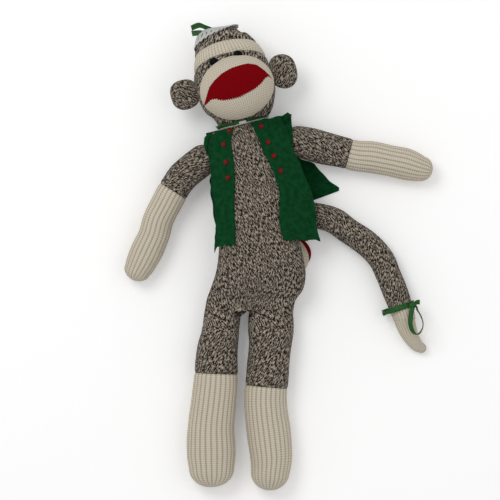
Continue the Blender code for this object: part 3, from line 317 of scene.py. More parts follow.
def add_node(tree, kind, inputs=(), output=0, **settings):
    """Add a node with its settings; link or set its inputs by name or number; give back one output."""
    node = tree.nodes.new(kind)
    for key, value in settings.items():
        setattr(node, key, value)
    for key, value in dict(inputs).items():
        if isinstance(value, bpy.types.NodeSocket):
            tree.links.new(value, node.inputs[key])
        else:
            node.inputs[key].default_value = value
    return node.outputs[output] if len(node.outputs) else node


def new_material(name, roughness, sheen=0.0, **sockets):
    """Principled material with its plain sockets set; gives back the material, its tree and its shader."""
    material = bpy.data.materials.new(name)
    material.use_nodes = True
    tree = material.node_tree
    tree.nodes.clear()
    shader = tree.nodes.new("ShaderNodeBsdfPrincipled")
    shader.inputs["Roughness"].default_value = roughness
    shader.inputs["Sheen Weight"].default_value = sheen
    for key, value in sockets.items():
        shader.inputs[key.replace("_", " ")].default_value = value
    add_node(tree, "ShaderNodeOutputMaterial", {"Surface": shader.outputs[0]})
    return material, tree, shader


def stitch_cells(tree, width, height, lean, split):
    """Leaning cells of a plain knit from the UV map, in metres.

    Each column of stitches has two legs that meet in a V: the row is raised by
    the distance from the column's middle line times the lean. The outputs are
    a cell's number as a vector, and its rounded height from 0 at the rim to 1.
    """
    uv = add_node(tree, "ShaderNodeTexCoord", output="UV")
    grid = add_node(tree, "ShaderNodeVectorMath", {0: uv, 1: (1 / width, 1 / height, 1)}, operation="MULTIPLY")
    parts = add_node(tree, "ShaderNodeSeparateXYZ", {0: grid}).node
    across = add_node(tree, "ShaderNodeMath", {0: parts.outputs[0]}, operation="FRACT")
    column = add_node(tree, "ShaderNodeMath", {0: parts.outputs[0]}, operation="FLOOR")
    from_split = add_node(tree, "ShaderNodeMath", {0: across, 1: split}, operation="SUBTRACT")
    leg = add_node(tree, "ShaderNodeMath", {0: from_split, 1: 0.0}, operation="GREATER_THAN")
    away = add_node(tree, "ShaderNodeMath", {0: from_split}, operation="ABSOLUTE")
    raised = add_node(tree, "ShaderNodeMath", {0: away, 1: lean, 2: parts.outputs[1]}, operation="MULTIPLY_ADD")
    row = add_node(tree, "ShaderNodeMath", {0: raised}, operation="FLOOR")
    up = add_node(tree, "ShaderNodeMath", {0: raised}, operation="FRACT")
    half_leg = add_node(tree, "ShaderNodeMath", {0: leg, 1: 0.5, 2: column}, operation="MULTIPLY_ADD")
    cell = add_node(tree, "ShaderNodeCombineXYZ", {0: half_leg, 1: row})
    turned = add_node(tree, "ShaderNodeMath", {0: up, 1: math.pi}, operation="MULTIPLY")
    hump = add_node(tree, "ShaderNodeMath", {0: turned}, operation="SINE")
    return cell, hump, grid


def marl_material(name, fleck=1.0):
    """Ragg-wool sock knit: brown and cream plies twisted in one yarn.

    The twist shows as short leaning flecks, one or two stitches long, that run
    mostly one way; the fabric is matt, with a faint haze of fibres. A stitch is
    drawn a little coarser than the real one so that its flecks show.
    """
    knit = bpy.context.scene.doll_knit
    material, tree, shader = new_material(name, 0.95, sheen=0.03, Specular_IOR_Level=0.1)
    cell, hump, grid = stitch_cells(tree, knit.stitch * fleck, knit.course * fleck, 1.5, 0.64)
    spot = add_node(tree, "ShaderNodeTexWhiteNoise", {"Vector": cell}, noise_dimensions="2D")
    run = add_node(tree, "ShaderNodeTexNoise", {"Vector": cell, "Scale": 0.62, "Detail": 1.0, "Roughness": 0.5})
    ply = add_node(tree, "ShaderNodeMath", {0: run, 1: 0.7, 2: -0.07}, operation="MULTIPLY_ADD")
    uv = add_node(tree, "ShaderNodeTexCoord", output="UV")
    twist = add_node(tree, "ShaderNodeMapping", {"Vector": uv, "Rotation": (0, 0, math.radians(28)),
                                                 "Scale": (0.0008 * fleck, 0.0026 * fleck, 1)}, vector_type="TEXTURE")
    streak = add_node(tree, "ShaderNodeTexNoise", {"Vector": twist, "Scale": 0.62, "Detail": 1.5, "Roughness": 0.6})
    flecks = add_node(tree, "ShaderNodeMath", {0: streak, 1: 2.6, 2: -0.72}, operation="MULTIPLY_ADD")
    speck = add_node(tree, "ShaderNodeMath", {0: spot, 1: 0.30, 2: ply}, operation="MULTIPLY_ADD")
    mixed = add_node(tree, "ShaderNodeMath", {0: flecks, 1: speck}, operation="ADD")
    # Painted shade: each stitch's rounded height is added to its random fleck share, so its crown is painted lighter
    # and its rim darker.
    lit = add_node(tree, "ShaderNodeMath", {0: hump, 1: 0.45, 2: mixed}, operation="MULTIPLY_ADD")
    share = add_node(tree, "ShaderNodeMapRange", {"Value": lit, "From Min": 1.20, "From Max": 1.70},
                     interpolation_type="SMOOTHSTEP")
    yarn = add_node(tree, "ShaderNodeMix", {0: share, 6: knit.marl_dark, 7: knit.marl_light},
                    output=2, data_type="RGBA")
    patch = add_node(tree, "ShaderNodeTexNoise", {"Vector": grid, "Scale": 0.045, "Detail": 2.0})
    tone = add_node(tree, "ShaderNodeMapRange", {"Value": patch, "To Min": 0.74, "To Max": 1.12})
    final = add_node(tree, "ShaderNodeVectorMath", {0: yarn, 1: tone}, operation="MULTIPLY")
    tree.links.new(final, shader.inputs["Base Color"])
    bump = add_node(tree, "ShaderNodeBump", {"Strength": 0.6, "Distance": 0.0006, "Height": hump})
    tree.links.new(bump, shader.inputs["Normal"])
    return material


def rib_material(name, pitch, light, shade, groove=0.20):
    """Cream sock cuff knit in ribs: raised columns of plain stitches with a purl groove between.

    The groove is painted darker as shade, and a small dark dot of painted shade at each second stitch
    reaches from it onto the ribs, drawn that much coarser than the real ones so that it
    shows; the yarn is matt cotton with a soft haze.
    """
    knit = bpy.context.scene.doll_knit
    material, tree, shader = new_material(name, 0.92, sheen=0.03, Specular_IOR_Level=0.1)
    cell, hump, grid = stitch_cells(tree, pitch / 2, knit.course, 0.9, 0.5)
    uv = add_node(tree, "ShaderNodeTexCoord", output="UV")
    turned = add_node(tree, "ShaderNodeVectorMath",
                      {0: uv, 1: (2 * math.pi / pitch, math.pi / knit.course, 0)}, operation="MULTIPLY")
    parts = add_node(tree, "ShaderNodeSeparateXYZ", {0: turned}).node
    wave = add_node(tree, "ShaderNodeMath", {0: parts.outputs[0]}, operation="COSINE")
    dots = add_node(tree, "ShaderNodeMath", {0: parts.outputs[1]}, operation="COSINE")
    level = add_node(tree, "ShaderNodeMapRange",
                     {"Value": wave, "From Min": -1.0, "From Max": -1.0 + 4 * groove, "To Min": 0.0, "To Max": 1.0},
                     interpolation_type="SMOOTHSTEP")
    # Painted shade: the groove, and a dot at every second course in it, take the shade colour; the white noise below
    # is random tone.
    dotted = add_node(tree, "ShaderNodeMath", {0: dots, 1: 0.42, 2: level}, operation="MULTIPLY_ADD", use_clamp=True)
    spot = add_node(tree, "ShaderNodeTexWhiteNoise", {"Vector": cell}, noise_dimensions="2D")
    uneven = add_node(tree, "ShaderNodeMath", {0: spot, 1: 0.14, 2: -0.07}, operation="MULTIPLY_ADD")
    share = add_node(tree, "ShaderNodeMath", {0: dotted, 1: uneven}, operation="ADD", use_clamp=True)
    yarn = add_node(tree, "ShaderNodeMix", {0: share, 6: shade, 7: light}, output=2, data_type="RGBA")
    tree.links.new(yarn, shader.inputs["Base Color"])
    height = add_node(tree, "ShaderNodeMath", {0: level, 1: 1.6, 2: hump}, operation="MULTIPLY_ADD")
    bump = add_node(tree, "ShaderNodeBump", {"Strength": 0.55, "Distance": 0.0004, "Height": height})
    tree.links.new(bump, shader.inputs["Normal"])
    return material


def red_material(name):
    """Red sock heel: fine plain stitches in one red yarn; each stitch's crown is painted lighter and its rim darker as
    shade, over a random tone per stitch.
    """
    knit = bpy.context.scene.doll_knit
    material, tree, shader = new_material(name, 0.95, Specular_IOR_Level=0.02)
    cell, hump, grid = stitch_cells(tree, knit.fine_rib * 0.6, knit.course, 1.0, 0.5)
    spot = add_node(tree, "ShaderNodeTexWhiteNoise", {"Vector": cell}, noise_dimensions="2D")
    # Painted highlight and shade: the stitch's rounded height lightens its crown and darkens its rim; the white noise
    # is random tone.
    lit = add_node(tree, "ShaderNodeMath", {0: spot, 1: 0.5, 2: hump}, operation="MULTIPLY_ADD")
    tone = add_node(tree, "ShaderNodeMapRange", {"Value": lit, "From Max": 1.5, "To Min": 0.72, "To Max": 1.14})
    yarn = add_node(tree, "ShaderNodeVectorMath", {0: knit.red[:3], 1: tone}, operation="MULTIPLY")
    tree.links.new(yarn, shader.inputs["Base Color"])
    bump = add_node(tree, "ShaderNodeBump", {"Strength": 0.5, "Distance": 0.0004, "Height": hump})
    tree.links.new(bump, shader.inputs["Normal"])
    return material


def felt_material(name):
    """Craft felt: matted acrylic fibres with no weave, a mottled dark green with a dusty haze."""
    trim = bpy.context.scene.doll_trim
    material, tree, shader = new_material(name, 0.97, sheen=0.02, Specular_IOR_Level=0.03)
    place = add_node(tree, "ShaderNodeTexCoord", output="UV")
    fibre = add_node(tree, "ShaderNodeTexNoise", {"Vector": place, "Scale": 1400.0, "Detail": 4.0, "Roughness": 0.7})
    cloud = add_node(tree, "ShaderNodeTexNoise", {"Vector": place, "Scale": 160.0, "Detail": 2.0})
    both = add_node(tree, "ShaderNodeMath", {0: fibre, 1: 0.6, 2: cloud}, operation="MULTIPLY_ADD")
    share = add_node(tree, "ShaderNodeMapRange", {"Value": both, "From Min": 0.62, "From Max": 0.98})
    yarn = add_node(tree, "ShaderNodeMix", {0: share, 6: trim.felt_colour, 7: trim.felt_light},
                    output=2, data_type="RGBA")
    tree.links.new(yarn, shader.inputs["Base Color"])
    bump = add_node(tree, "ShaderNodeBump", {"Strength": 0.5, "Distance": 0.0005, "Height": both})
    tree.links.new(bump, shader.inputs["Normal"])
    return material


def satin_material(name, tint, roughness=0.38):
    """Polyester satin ribbon: long floats across the width give a soft streaky shine, painted into the colour as
    lighter and darker streaks.
    """
    material, tree, shader = new_material(name, roughness, Anisotropic=0.5, Specular_IOR_Level=0.2)
    place = add_node(tree, "ShaderNodeTexCoord", output="UV")
    long_way = add_node(tree, "ShaderNodeVectorMath", {0: place, 1: (260.0, 2600.0, 1.0)}, operation="MULTIPLY")
    float_grain_and_sheen = add_node(tree, "ShaderNodeTexNoise", {"Vector": long_way, "Scale": 1.0, "Detail": 2.0})
    # Painted sheen: the ribbon's colour is lightened and darkened in streaks along its floats; the same noise also
    # gives the floats' bump.
    tone = add_node(tree, "ShaderNodeMapRange", {"Value": float_grain_and_sheen, "From Min": 0.25, "From Max": 0.75,
                                                 "To Min": 0.62, "To Max": 1.35})
    yarn = add_node(tree, "ShaderNodeVectorMath", {0: tint[:3], 1: tone}, operation="MULTIPLY")
    tree.links.new(yarn, shader.inputs["Base Color"])
    bump = add_node(tree, "ShaderNodeBump", {"Strength": 0.25, "Distance": 0.0002, "Height": float_grain_and_sheen})
    tree.links.new(bump, shader.inputs["Normal"])
    return material


def lace_material(name, tint):
    """Cotton lace thread: matt, off-white, with the small knots of its net as bumps and the thread painted darker away
    from each knot as shade.
    """
    material, tree, shader = new_material(name, 0.85, sheen=0.1, Specular_IOR_Level=0.2)
    place = add_node(tree, "ShaderNodeTexCoord", output="UV")
    net = add_node(tree, "ShaderNodeTexVoronoi", {"Vector": place, "Scale": 900.0}, feature="F1")
    # Painted shade: the thread is darker away from each knot of the net.
    tone = add_node(tree, "ShaderNodeMapRange", {"Value": net, "From Max": 0.8, "To Min": 1.05, "To Max": 0.72})
    yarn = add_node(tree, "ShaderNodeVectorMath", {0: tint[:3], 1: tone}, operation="MULTIPLY")
    tree.links.new(yarn, shader.inputs["Base Color"])
    bump = add_node(tree, "ShaderNodeBump", {"Strength": 0.6, "Distance": 0.0003, "Height": net})
    tree.links.new(bump, shader.inputs["Normal"])
    return material


def gloss_material(name, tint, roughness, scale, shine):
    """Moulded glass or plastic: one body colour a little cloudy inside, under a clear gloss."""
    material, tree, shader = new_material(name, roughness, Specular_IOR_Level=shine)
    place = add_node(tree, "ShaderNodeTexCoord", output="Object")
    cloud = add_node(tree, "ShaderNodeTexNoise", {"Vector": place, "Scale": scale, "Detail": 2.0})
    tone = add_node(tree, "ShaderNodeMapRange", {"Value": cloud, "To Min": 0.75, "To Max": 1.25})
    body = add_node(tree, "ShaderNodeVectorMath", {0: tint[:3], 1: tone}, operation="MULTIPLY")
    tree.links.new(body, shader.inputs["Base Color"])
    return material


def material_for(name):
    """The doll's material of that name, made the first time that it is asked for."""
    if name in bpy.data.materials:
        return bpy.data.materials[name]
    knit = bpy.context.scene.doll_knit
    trim = bpy.context.scene.doll_trim
    makers = {
        "Brown marl sock knit": marl_material,
        "Brown marl sock knit, stretched": lambda n: marl_material(n, fleck=1.3),
        "Cream rib cuff knit": lambda n: rib_material(n, knit.rib, knit.cream, knit.cream_shade),
        "Cream fine rib knit": lambda n: rib_material(n, knit.fine_rib, knit.cream, knit.cream_shade, 0.16),
        "Red heel knit": red_material,
        "Green craft felt": felt_material,
        "Green satin ribbon": lambda n: satin_material(n, trim.satin_colour),
        "White cotton tie": lambda n: lace_material(n, trim.tie_colour),
        "Off-white cotton lace": lambda n: lace_material(n, trim.lace_colour),
        "Red glass bead": lambda n: gloss_material(n, trim.bead_colour, 0.32, 400.0, 0.12),
        "Black glass eye": lambda n: gloss_material(n, trim.eye_colour, 0.28, 300.0, 0.05),
    }
    return makers[name](name)


def make_mesh(name, points, faces, corner_uv, triangles=(), triangle_uv=()):
    """Mesh from an array of points, an array of quads and its corners' UV places in metres, and fan triangles.

    The faces are turned round together where the volume they enclose comes out negative.
    """
    faces = np.asarray(faces)
    triangles = np.asarray(triangles, dtype=int).reshape(-1, 3)
    quads = points[faces]
    normals = np.cross(quads[:, 2] - quads[:, 0], quads[:, 3] - quads[:, 1])
    if np.sum(quads.mean(axis=1) * normals) < 0:
        faces = faces[:, ::-1]
        corner_uv = corner_uv[:, ::-1]
        triangles = triangles[:, ::-1]
        triangle_uv = np.asarray(triangle_uv).reshape(-1, 3, 2)[:, ::-1]
    mesh = bpy.data.meshes.new(name)
    mesh.from_pydata(points.tolist(), [], faces.tolist() + triangles.tolist())
    layer = mesh.uv_layers.new(name="knit")
    flat = np.concatenate([corner_uv.reshape(-1), np.asarray(triangle_uv, dtype=float).reshape(-1)])
    layer.data.foreach_set("uv", flat.astype(np.float32))
    mesh.shade_smooth()
    return mesh


def tube_mesh(name, rings, u, v):
    """Closed skin of rings of points; u holds one more column than the rings, so that the pattern meets itself.

    Both end rings are closed by a fan to their own middle.
    """
    rows, columns = rings.shape[:2]
    index = np.arange(rows * columns).reshape(rows, columns)
    following = np.roll(index, -1, axis=1)
    faces = np.stack([index[:-1], following[:-1], following[1:], index[1:]], axis=-1).reshape(-1, 4)
    uv = np.stack([np.broadcast_to(u, (rows, columns + 1)), np.broadcast_to(v, (rows, columns + 1))], axis=-1)
    corners = np.stack([uv[:-1, :-1], uv[:-1, 1:], uv[1:, 1:], uv[1:, :-1]], axis=2).reshape(-1, 4, 2)
    points = rings.reshape(-1, 3)
    fans = []
    fan_uv = []
    for row in (0, rows - 1):
        middle = np.full(columns, len(points))
        points = np.vstack([points, rings[row].mean(axis=0)])
        near, far = (following[row], index[row]) if row == 0 else (index[row], following[row])
        near_uv, far_uv = (uv[row, 1:], uv[row, :-1]) if row == 0 else (uv[row, :-1], uv[row, 1:])
        fans.append(np.stack([middle, near, far], axis=-1))
        fan_uv.append(np.stack([(near_uv + far_uv) / 2, near_uv, far_uv], axis=1))
    return make_mesh(name, points, faces, corners, np.vstack(fans), np.vstack(fan_uv))


def sheet_mesh(name, grid, uv, keep=None):
    """Open skin over a grid of points; keep marks the cells that stay."""
    rows, columns = grid.shape[:2]
    index = np.arange(rows * columns).reshape(rows, columns)
    faces = np.stack([index[:-1, :-1], index[:-1, 1:], index[1:, 1:], index[1:, :-1]], axis=-1)
    corners = np.stack([uv[:-1, :-1], uv[:-1, 1:], uv[1:, 1:], uv[1:, :-1]], axis=2)
    if keep is None:
        keep = np.ones(faces.shape[:2], dtype=bool)
    faces, corners = faces[keep], corners[keep]
    used, local = np.unique(faces, return_inverse=True)
    mesh = bpy.data.meshes.new(name)
    mesh.from_pydata(grid.reshape(-1, 3)[used].tolist(), [], local.reshape(-1, 4).tolist())
    mesh.uv_layers.new(name="cloth").data.foreach_set("uv", corners.reshape(-1).astype(np.float32))
    mesh.shade_smooth()
    return mesh


def add_piece(name, mesh, material, body=None, replaces=()):
    """A finished piece in its place, on its body, standing for its CAD nodes."""
    obj = bpy.data.objects.new(name, mesh)
    bpy.context.collection.objects.link(obj)
    mesh.materials.append(material_for(material))
    if replaces:
        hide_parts(*replaces)
    if body:
        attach(obj, body)
    return obj


def smooth_curve(rows, steps):
    """Points of a Catmull-Rom curve through rows of any width, evenly spread between them."""
    rows = np.array(rows, dtype=float)
    ends = np.vstack([2 * rows[0] - rows[1], rows, 2 * rows[-1] - rows[-2]])
    place = np.linspace(0, len(rows) - 1, steps)
    span = np.minimum(place.astype(int), len(rows) - 2)
    f = (place - span)[:, None]
    a, b, c, d = (ends[span + k] for k in range(4))
    return (2 * b + (c - a) * f + (2 * a - 5 * b + 4 * c - d) * f ** 2 + (3 * b - a - 3 * c + d) * f ** 3) / 2


def run_along(points):
    """Length of a line of points from its start to each of them."""
    return np.concatenate([[0], np.cumsum(np.linalg.norm(np.diff(points, axis=0), axis=1))])


def path_with_joint(rows, joint):
    """A limb's smooth path through its rows, its lengths, and the length at its lower joint."""
    smooth = smooth_path(rows, PATH_SPACING)
    run = run_along(smooth[:, :2])
    return smooth, run, run[np.argmin(np.linalg.norm(smooth[:, :2] - joint[:2], axis=1))]


def smooth_path(rows, spacing):
    """Rows of a Catmull-Rom curve through the given rows, spread evenly by length in plan."""
    dense = smooth_curve(rows, 24 * (len(rows) - 1) + 1)
    run = run_along(dense[:, :2])
    steps = np.linspace(0, run[-1], max(int(run[-1] / spacing), 4) + 1)
    return np.stack([np.interp(steps, run, dense[:, k]) for k in range(dense.shape[1])], axis=1)


def unevenness(points, size, seed):
    """Soft lumps between -1 and 1: a sum of slow waves across space, their sizes near the given one."""
    rng = np.random.default_rng(seed)
    total = np.zeros(points.shape[:-1])
    for _ in range(14):
        wave = rng.normal(size=3)
        wave *= 2 * math.pi / size / np.linalg.norm(wave) * rng.uniform(0.5, 1.3)
        total += np.sin(points @ wave + rng.uniform(0, 2 * math.pi))
    return total / 14 * 2


def stuffed_rings(rows, columns, root_cap=0.0, tip_cap=0.0, floor=0.0, cap_steps=14):
    """Rings of a stuffed tube that lies on a floor, lengths along it, and each ring's fullness.

    A ring is an ellipse square to the path in plan: side = half width * cos(angle),
    up = half height * sin(angle), on a middle that follows the path. Each end is closed
    as half an ellipsoid of the cap's length. The underside is pressed against the floor:
    z = the smooth greater of the ellipse and the floor, sqrt((z - floor)^2 + k^2).
    """
    rows = np.array(rows, dtype=float)
    heading = np.gradient(rows[:, :2], axis=0)
    heading /= np.linalg.norm(heading, axis=1)[:, None]
    angles = np.radians(np.linspace(0, 88, cap_steps + 1)[1:])
    full = np.ones(len(rows))
    floor = np.broadcast_to(floor, len(rows)).astype(float)
    for end, cap, sign in ((0, root_cap, -1), (-1, tip_cap, 1)):
        if not cap:
            continue
        extra = np.repeat(rows[[end]], cap_steps, axis=0)
        extra[:, :2] += sign * cap * np.sin(angles)[:, None] * heading[end]
        extra[:, 3:5] *= np.cos(angles)[:, None]
        turned = np.repeat(heading[[end]], cap_steps, axis=0)
        fade = np.cos(angles)
        low = np.full(cap_steps, floor[end])
        if end == 0:
            rows, heading = np.vstack([extra[::-1], rows]), np.vstack([turned, heading])
            full, floor = np.concatenate([fade[::-1], full]), np.concatenate([low, floor])
        else:
            rows, heading = np.vstack([rows, extra]), np.vstack([heading, turned])
            full, floor = np.concatenate([full, fade]), np.concatenate([floor, low])
    angle = (np.arange(columns) + 0.5) * 2 * math.pi / columns - math.pi / 2
    side = rows[:, 3, None] * np.cos(angle)
    up = rows[:, 2, None] + rows[:, 4, None] * np.sin(angle)
    press = 0.0009
    up = floor[:, None] + (up - floor[:, None] + np.sqrt((up - floor[:, None]) ** 2 + press ** 2)) / 2 - press / 4
    up = np.maximum(up, floor[:, None])
    rings = np.stack([rows[:, 0, None] + heading[:, 1, None] * side,
                      rows[:, 1, None] - heading[:, 0, None] * side, up], axis=-1)
    steps = np.linalg.norm(np.diff(rows[:, :3], axis=0), axis=1) + 1e-5
    run = np.concatenate([[0], np.cumsum(steps)])
    return rings, run, full


def ring_normals(rings):
    """Outward unit normals of a grid of rings, from its two directions."""
    along = np.gradient(rings, axis=0)
    around = (np.roll(rings, -1, axis=1) - np.roll(rings, 1, axis=1)) / 2
    normal = np.cross(around, along)
    length_of = np.linalg.norm(normal, axis=-1, keepdims=True)
    normal /= np.maximum(length_of, 1e-12)
    outward = rings - rings.mean(axis=1, keepdims=True)
    return normal * np.where(np.sum(normal * outward) < 0, -1.0, 1.0)


def knit_relief(rings, full, ribs=0, rib_height=0.0, lump=0.0, seed=1, floor=0.0):
    """Rings pushed out by their stuffing lumps and, where the knit is ribbed, by its ribs.

    A rib's section is 1 - (2t - 1)^4 over its pitch: flat-topped with a narrow groove.
    Both fade to nothing at the closed ends and on the floor.
    """
    normal = ring_normals(rings)
    columns = rings.shape[1]
    fade = np.clip(full, 0, 1)[:, None] ** 0.5 * np.ones(columns)
    off_floor = np.clip((rings[..., 2] - floor) / 0.004, 0, 1)
    push = lump * unevenness(rings, 0.028, seed) * fade * off_floor
    if ribs:
        t = (np.arange(columns) / columns * ribs) % 1
        push = push + rib_height * (1 - (2 * t - 1) ** 4 - 0.8) * fade * off_floor
    moved = rings + normal * push[..., None]
    moved[..., 2] = np.maximum(moved[..., 2], floor)
    return moved


def seam_pinch(rings, point, normal, depth=0.0009, width=0.0016):
    """Rings drawn in along a sewn seam plane: inward by depth * exp(-(distance / width)^2)."""
    away = (rings - np.asarray(point)) @ np.asarray(normal)
    inward = depth * np.exp(-(away / width) ** 2)
    return rings - ring_normals(rings) * inward[..., None]


def torso_place(along, across, height=0.0):
    """World point from shares of the torso's length and width, and a height."""
    along, across, height = np.broadcast_arrays(along, across, height)
    return np.stack([across * TORSO_WIDTH, (REST_SHARE - along) * TORSO_LENGTH, height], axis=-1)


TILT = math.radians(HEAD_TILT)
HEAD_UP = np.array([-math.sin(TILT), math.cos(TILT), 0.0])
HEAD_SIDE = np.array([math.cos(TILT), math.sin(TILT), 0.0])
NECK = torso_place(TORSO_SHARES[1][0], TORSO_SHARES[1][1],
                   (TORSO_SHARES[1][3] + TORSO_SHARES[1][4]) / 2 * TORSO_DEPTH)


def head_place(along, across, height=0.0):
    """World point from shares of the head's height and width, and a height above the floor."""
    along, across, height = np.broadcast_arrays(along, across, height)
    point = NECK + along[..., None] * HEAD_UP * HEAD_HEIGHT + across[..., None] * HEAD_SIDE * HEAD_WIDTH
    point[..., 2] = height
    return point


def lying_rows(shares, place, width, depth):
    """Path rows of a form on its back, from its shares: middle point, half width and half height."""
    table = np.array(shares)
    low, high = table[:, 3] * depth, table[:, 4] * depth
    points = place(table[:, 0], table[:, 1], (low + high) / 2)
    return np.column_stack([points, table[:, 2] * width, (high - low) / 2])


def limb_path(shares, root, run, radius, root_z, tip_z):
    """Path rows of a limb from its joint, from shares of its length and radius."""
    table = np.array(shares, dtype=float)
    steps = np.linspace(0, 1, len(table))
    return np.column_stack([root[0] + table[:, 0] * run, root[1] + table[:, 1] * run,
                            root_z + (tip_z - root_z) * steps, table[:, 2] * radius, table[:, 3] * radius])


def unit(vector):
    """The vector at length one."""
    vector = np.asarray(vector, dtype=float)
    return vector / np.linalg.norm(vector)


class DollOperator:
    """What the doll's operators share: each makes its pieces in one step that can be undone."""

    bl_options = {"REGISTER", "UNDO"}

    def execute(self, context):
        self.make(context.scene.doll_knit, context.scene.doll_trim, context.scene.doll_stage)
        return {"FINISHED"}


def halve(mesh, point, normal):
    """Cut a closed mesh with a plane, keep the side that the normal points away from, and close it."""
    bm = bmesh.new()
    bm.from_mesh(mesh)
    bmesh.ops.bisect_plane(bm, geom=bm.verts[:] + bm.edges[:] + bm.faces[:],
                           plane_co=Vector(point), plane_no=Vector(normal), clear_outer=True)
    rim = [edge for edge in bm.edges if edge.is_boundary]
    bmesh.ops.holes_fill(bm, edges=rim, sides=0)
    bmesh.ops.triangulate(bm, faces=[face for face in bm.faces if len(face.verts) > 4])
    bm.to_mesh(mesh)
    bm.free()
    mesh.shade_smooth()
    return mesh


def vertices(mesh):
    """The mesh's points as an array."""
    points = np.empty(len(mesh.vertices) * 3, dtype=np.float32)
    mesh.vertices.foreach_get("co", points)
    return points.reshape(-1, 3).astype(float)


def corner_vertices(mesh):
    """The number of the point at each corner of the mesh's faces."""
    corners = np.empty(len(mesh.loops), dtype=np.int32)
    mesh.loops.foreach_get("vertex_index", corners)
    return corners


def move_vertices(mesh, points):
    """Put the mesh's points at the rows of an array."""
    mesh.vertices.foreach_set("co", points.astype(np.float32).reshape(-1))


def weld(mesh, outward=False):
    """Join the points of a mesh that meet, and turn its faces one way where that is asked for."""
    bm = bmesh.new()
    bm.from_mesh(mesh)
    bmesh.ops.remove_doubles(bm, verts=bm.verts, dist=WELD_DISTANCE)
    if outward:
        bmesh.ops.recalc_face_normals(bm, faces=bm.faces)
    bm.to_mesh(mesh)
    bm.free()
    mesh.shade_smooth()


# Sizes of each kind of limb, in metres: heights of its joints and tip, lengths of its two parts, how far
# the seam lies above the joint, where the upper skin starts, and between which lengths it bends
LIMBS = {
    "arm": {"names": ("arm", "hand"), "bodies": ("upper_arm", "forearm"), "shares": (ARM_SHARES, HAND_SHARES),
            "root": SHOULDER_SHARES, "root_z": SHOULDER_HEIGHT, "joint_z": ARM_RADIUS + ARM_LIFT,
            "tip_z": ARM_RADIUS - FLAT_DEPTH, "radius": ARM_RADIUS, "root_cap": ARM_RADIUS,
            "runs": (ARM_LENGTH, HAND_LENGTH), "tip": 0.70, "seam": {"left": 0.0185, "right": 0.0092},
            "reach": {"left": 0.93, "right": 0.96}, "ribs": 20, "start": 0.0, "bend": (0.006, 0.026)},
    "leg": {"names": ("leg", "foot"), "bodies": ("thigh", "shin"), "shares": (LEG_SHARES, FOOT_SHARES),
            "root": HIP_SHARES, "root_z": LEG_RADIUS - FLAT_DEPTH, "joint_z": LEG_RADIUS - FLAT_DEPTH,
            "tip_z": LEG_RADIUS - FLAT_DEPTH, "radius": LEG_RADIUS, "root_cap": 0.0,
            "runs": (LEG_LENGTH, FOOT_LENGTH), "tip": 0.95, "seam": {"left": 0.0105, "right": 0.0083},
            "reach": {"left": 1.0, "right": 1.0}, "ribs": 26, "start": 0.010, "bend": (0.012, 0.048)},
}
STITCHES_ROUND = 60
SAMPLES_PER_RIB = 8


def limb_rows(kind, side):
    """Rows of a whole limb, from its joint on the torso to its tip, and the run length of its lower joint."""
    limb = LIMBS[kind]
    upper_shares, lower_shares = limb["shares"]
    root = torso_place(*limb["root"][side])
    upper = limb_path(upper_shares[side], root, limb["runs"][0], limb["radius"], limb["root_z"], limb["joint_z"])
    lower = limb_path(lower_shares[side], upper[-1], limb["runs"][1] * limb["reach"][side], limb["radius"],
                      limb["joint_z"], limb["tip_z"])
    rows = np.vstack([upper[:-1], (upper[-1:] + lower[:1]) / 2, lower[1:]])
    return path_with_joint(rows, upper[-1])


def limb_pieces(kind, side, knit):
    """The marl upper and the cream lower skin of one limb: one stuffed tube parted at the sewn change of yarn.

    The tube is an ellipse carried along the limb's path. Both skins are drawn in
    where they meet.
    """
    limb = LIMBS[kind]
    rows, run, joint_run = limb_rows(kind, side)
    seam_run = joint_run - limb["seam"][side]
    seam = int(np.argmin(np.abs(run - seam_run)))
    heading = unit([*(rows[seam + 3, :2] - rows[seam - 3, :2]), 0])
    seam_point = rows[seam, :3]
    names, bodies = limb["names"], limb["bodies"]
    start = int(np.argmin(np.abs(run - limb["start"])))
    upper = rows[start:seam + 1].copy()
    if kind == "leg":
        tuck = np.clip((run[start:seam + 1] - run[start]) / 0.004, 0, 1)
        upper[:, 3:5] += (0.00025 - 0.0009 * (1 - tuck))[:, None]
    columns = 2 * STITCHES_ROUND
    rings, length_run, full = stuffed_rings(
        upper, columns, root_cap=limb["root_cap"], tip_cap=SEAM_CAP, cap_steps=8)
    full = np.maximum(full, 0.6)
    rings = seam_pinch(rings, seam_point, heading)
    rings = knit_relief(rings, full, lump=knit.lump, seed=11 if side == "left" else 12)
    u = np.arange(columns + 1) / columns * 2 * math.pi * limb["radius"]
    mesh = tube_mesh(f"{names[0]}_{side}_skin", rings, u[None, :], length_run[:, None])
    skin = add_piece(mesh.name, mesh, "Brown marl sock knit",
                     replaces=(f"{names[0]}_{side}",))
    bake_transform(skin)

    ribs = limb["ribs"]
    columns = ribs * SAMPLES_PER_RIB
    rings, length_run, full = stuffed_rings(
        rows[seam:], columns, root_cap=SEAM_CAP, tip_cap=limb["tip"] * limb["radius"], cap_steps=18)
    rings = seam_pinch(rings, seam_point, heading)
    rings = knit_relief(rings, np.where(length_run < 0.01, 1, full), ribs=ribs, rib_height=knit.rib_height,
                        lump=knit.lump * 0.6, seed=21 if side == "left" else 22)
    u = np.arange(columns + 1) / SAMPLES_PER_RIB * knit.rib - knit.rib / 2
    mesh = tube_mesh(f"{names[1]}_{side}_skin", rings, u[None, :], length_run[:, None])
    cuff = add_piece(mesh.name, mesh, "Cream rib cuff knit", replaces=(f"{names[1]}_{side}",))
    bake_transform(cuff)


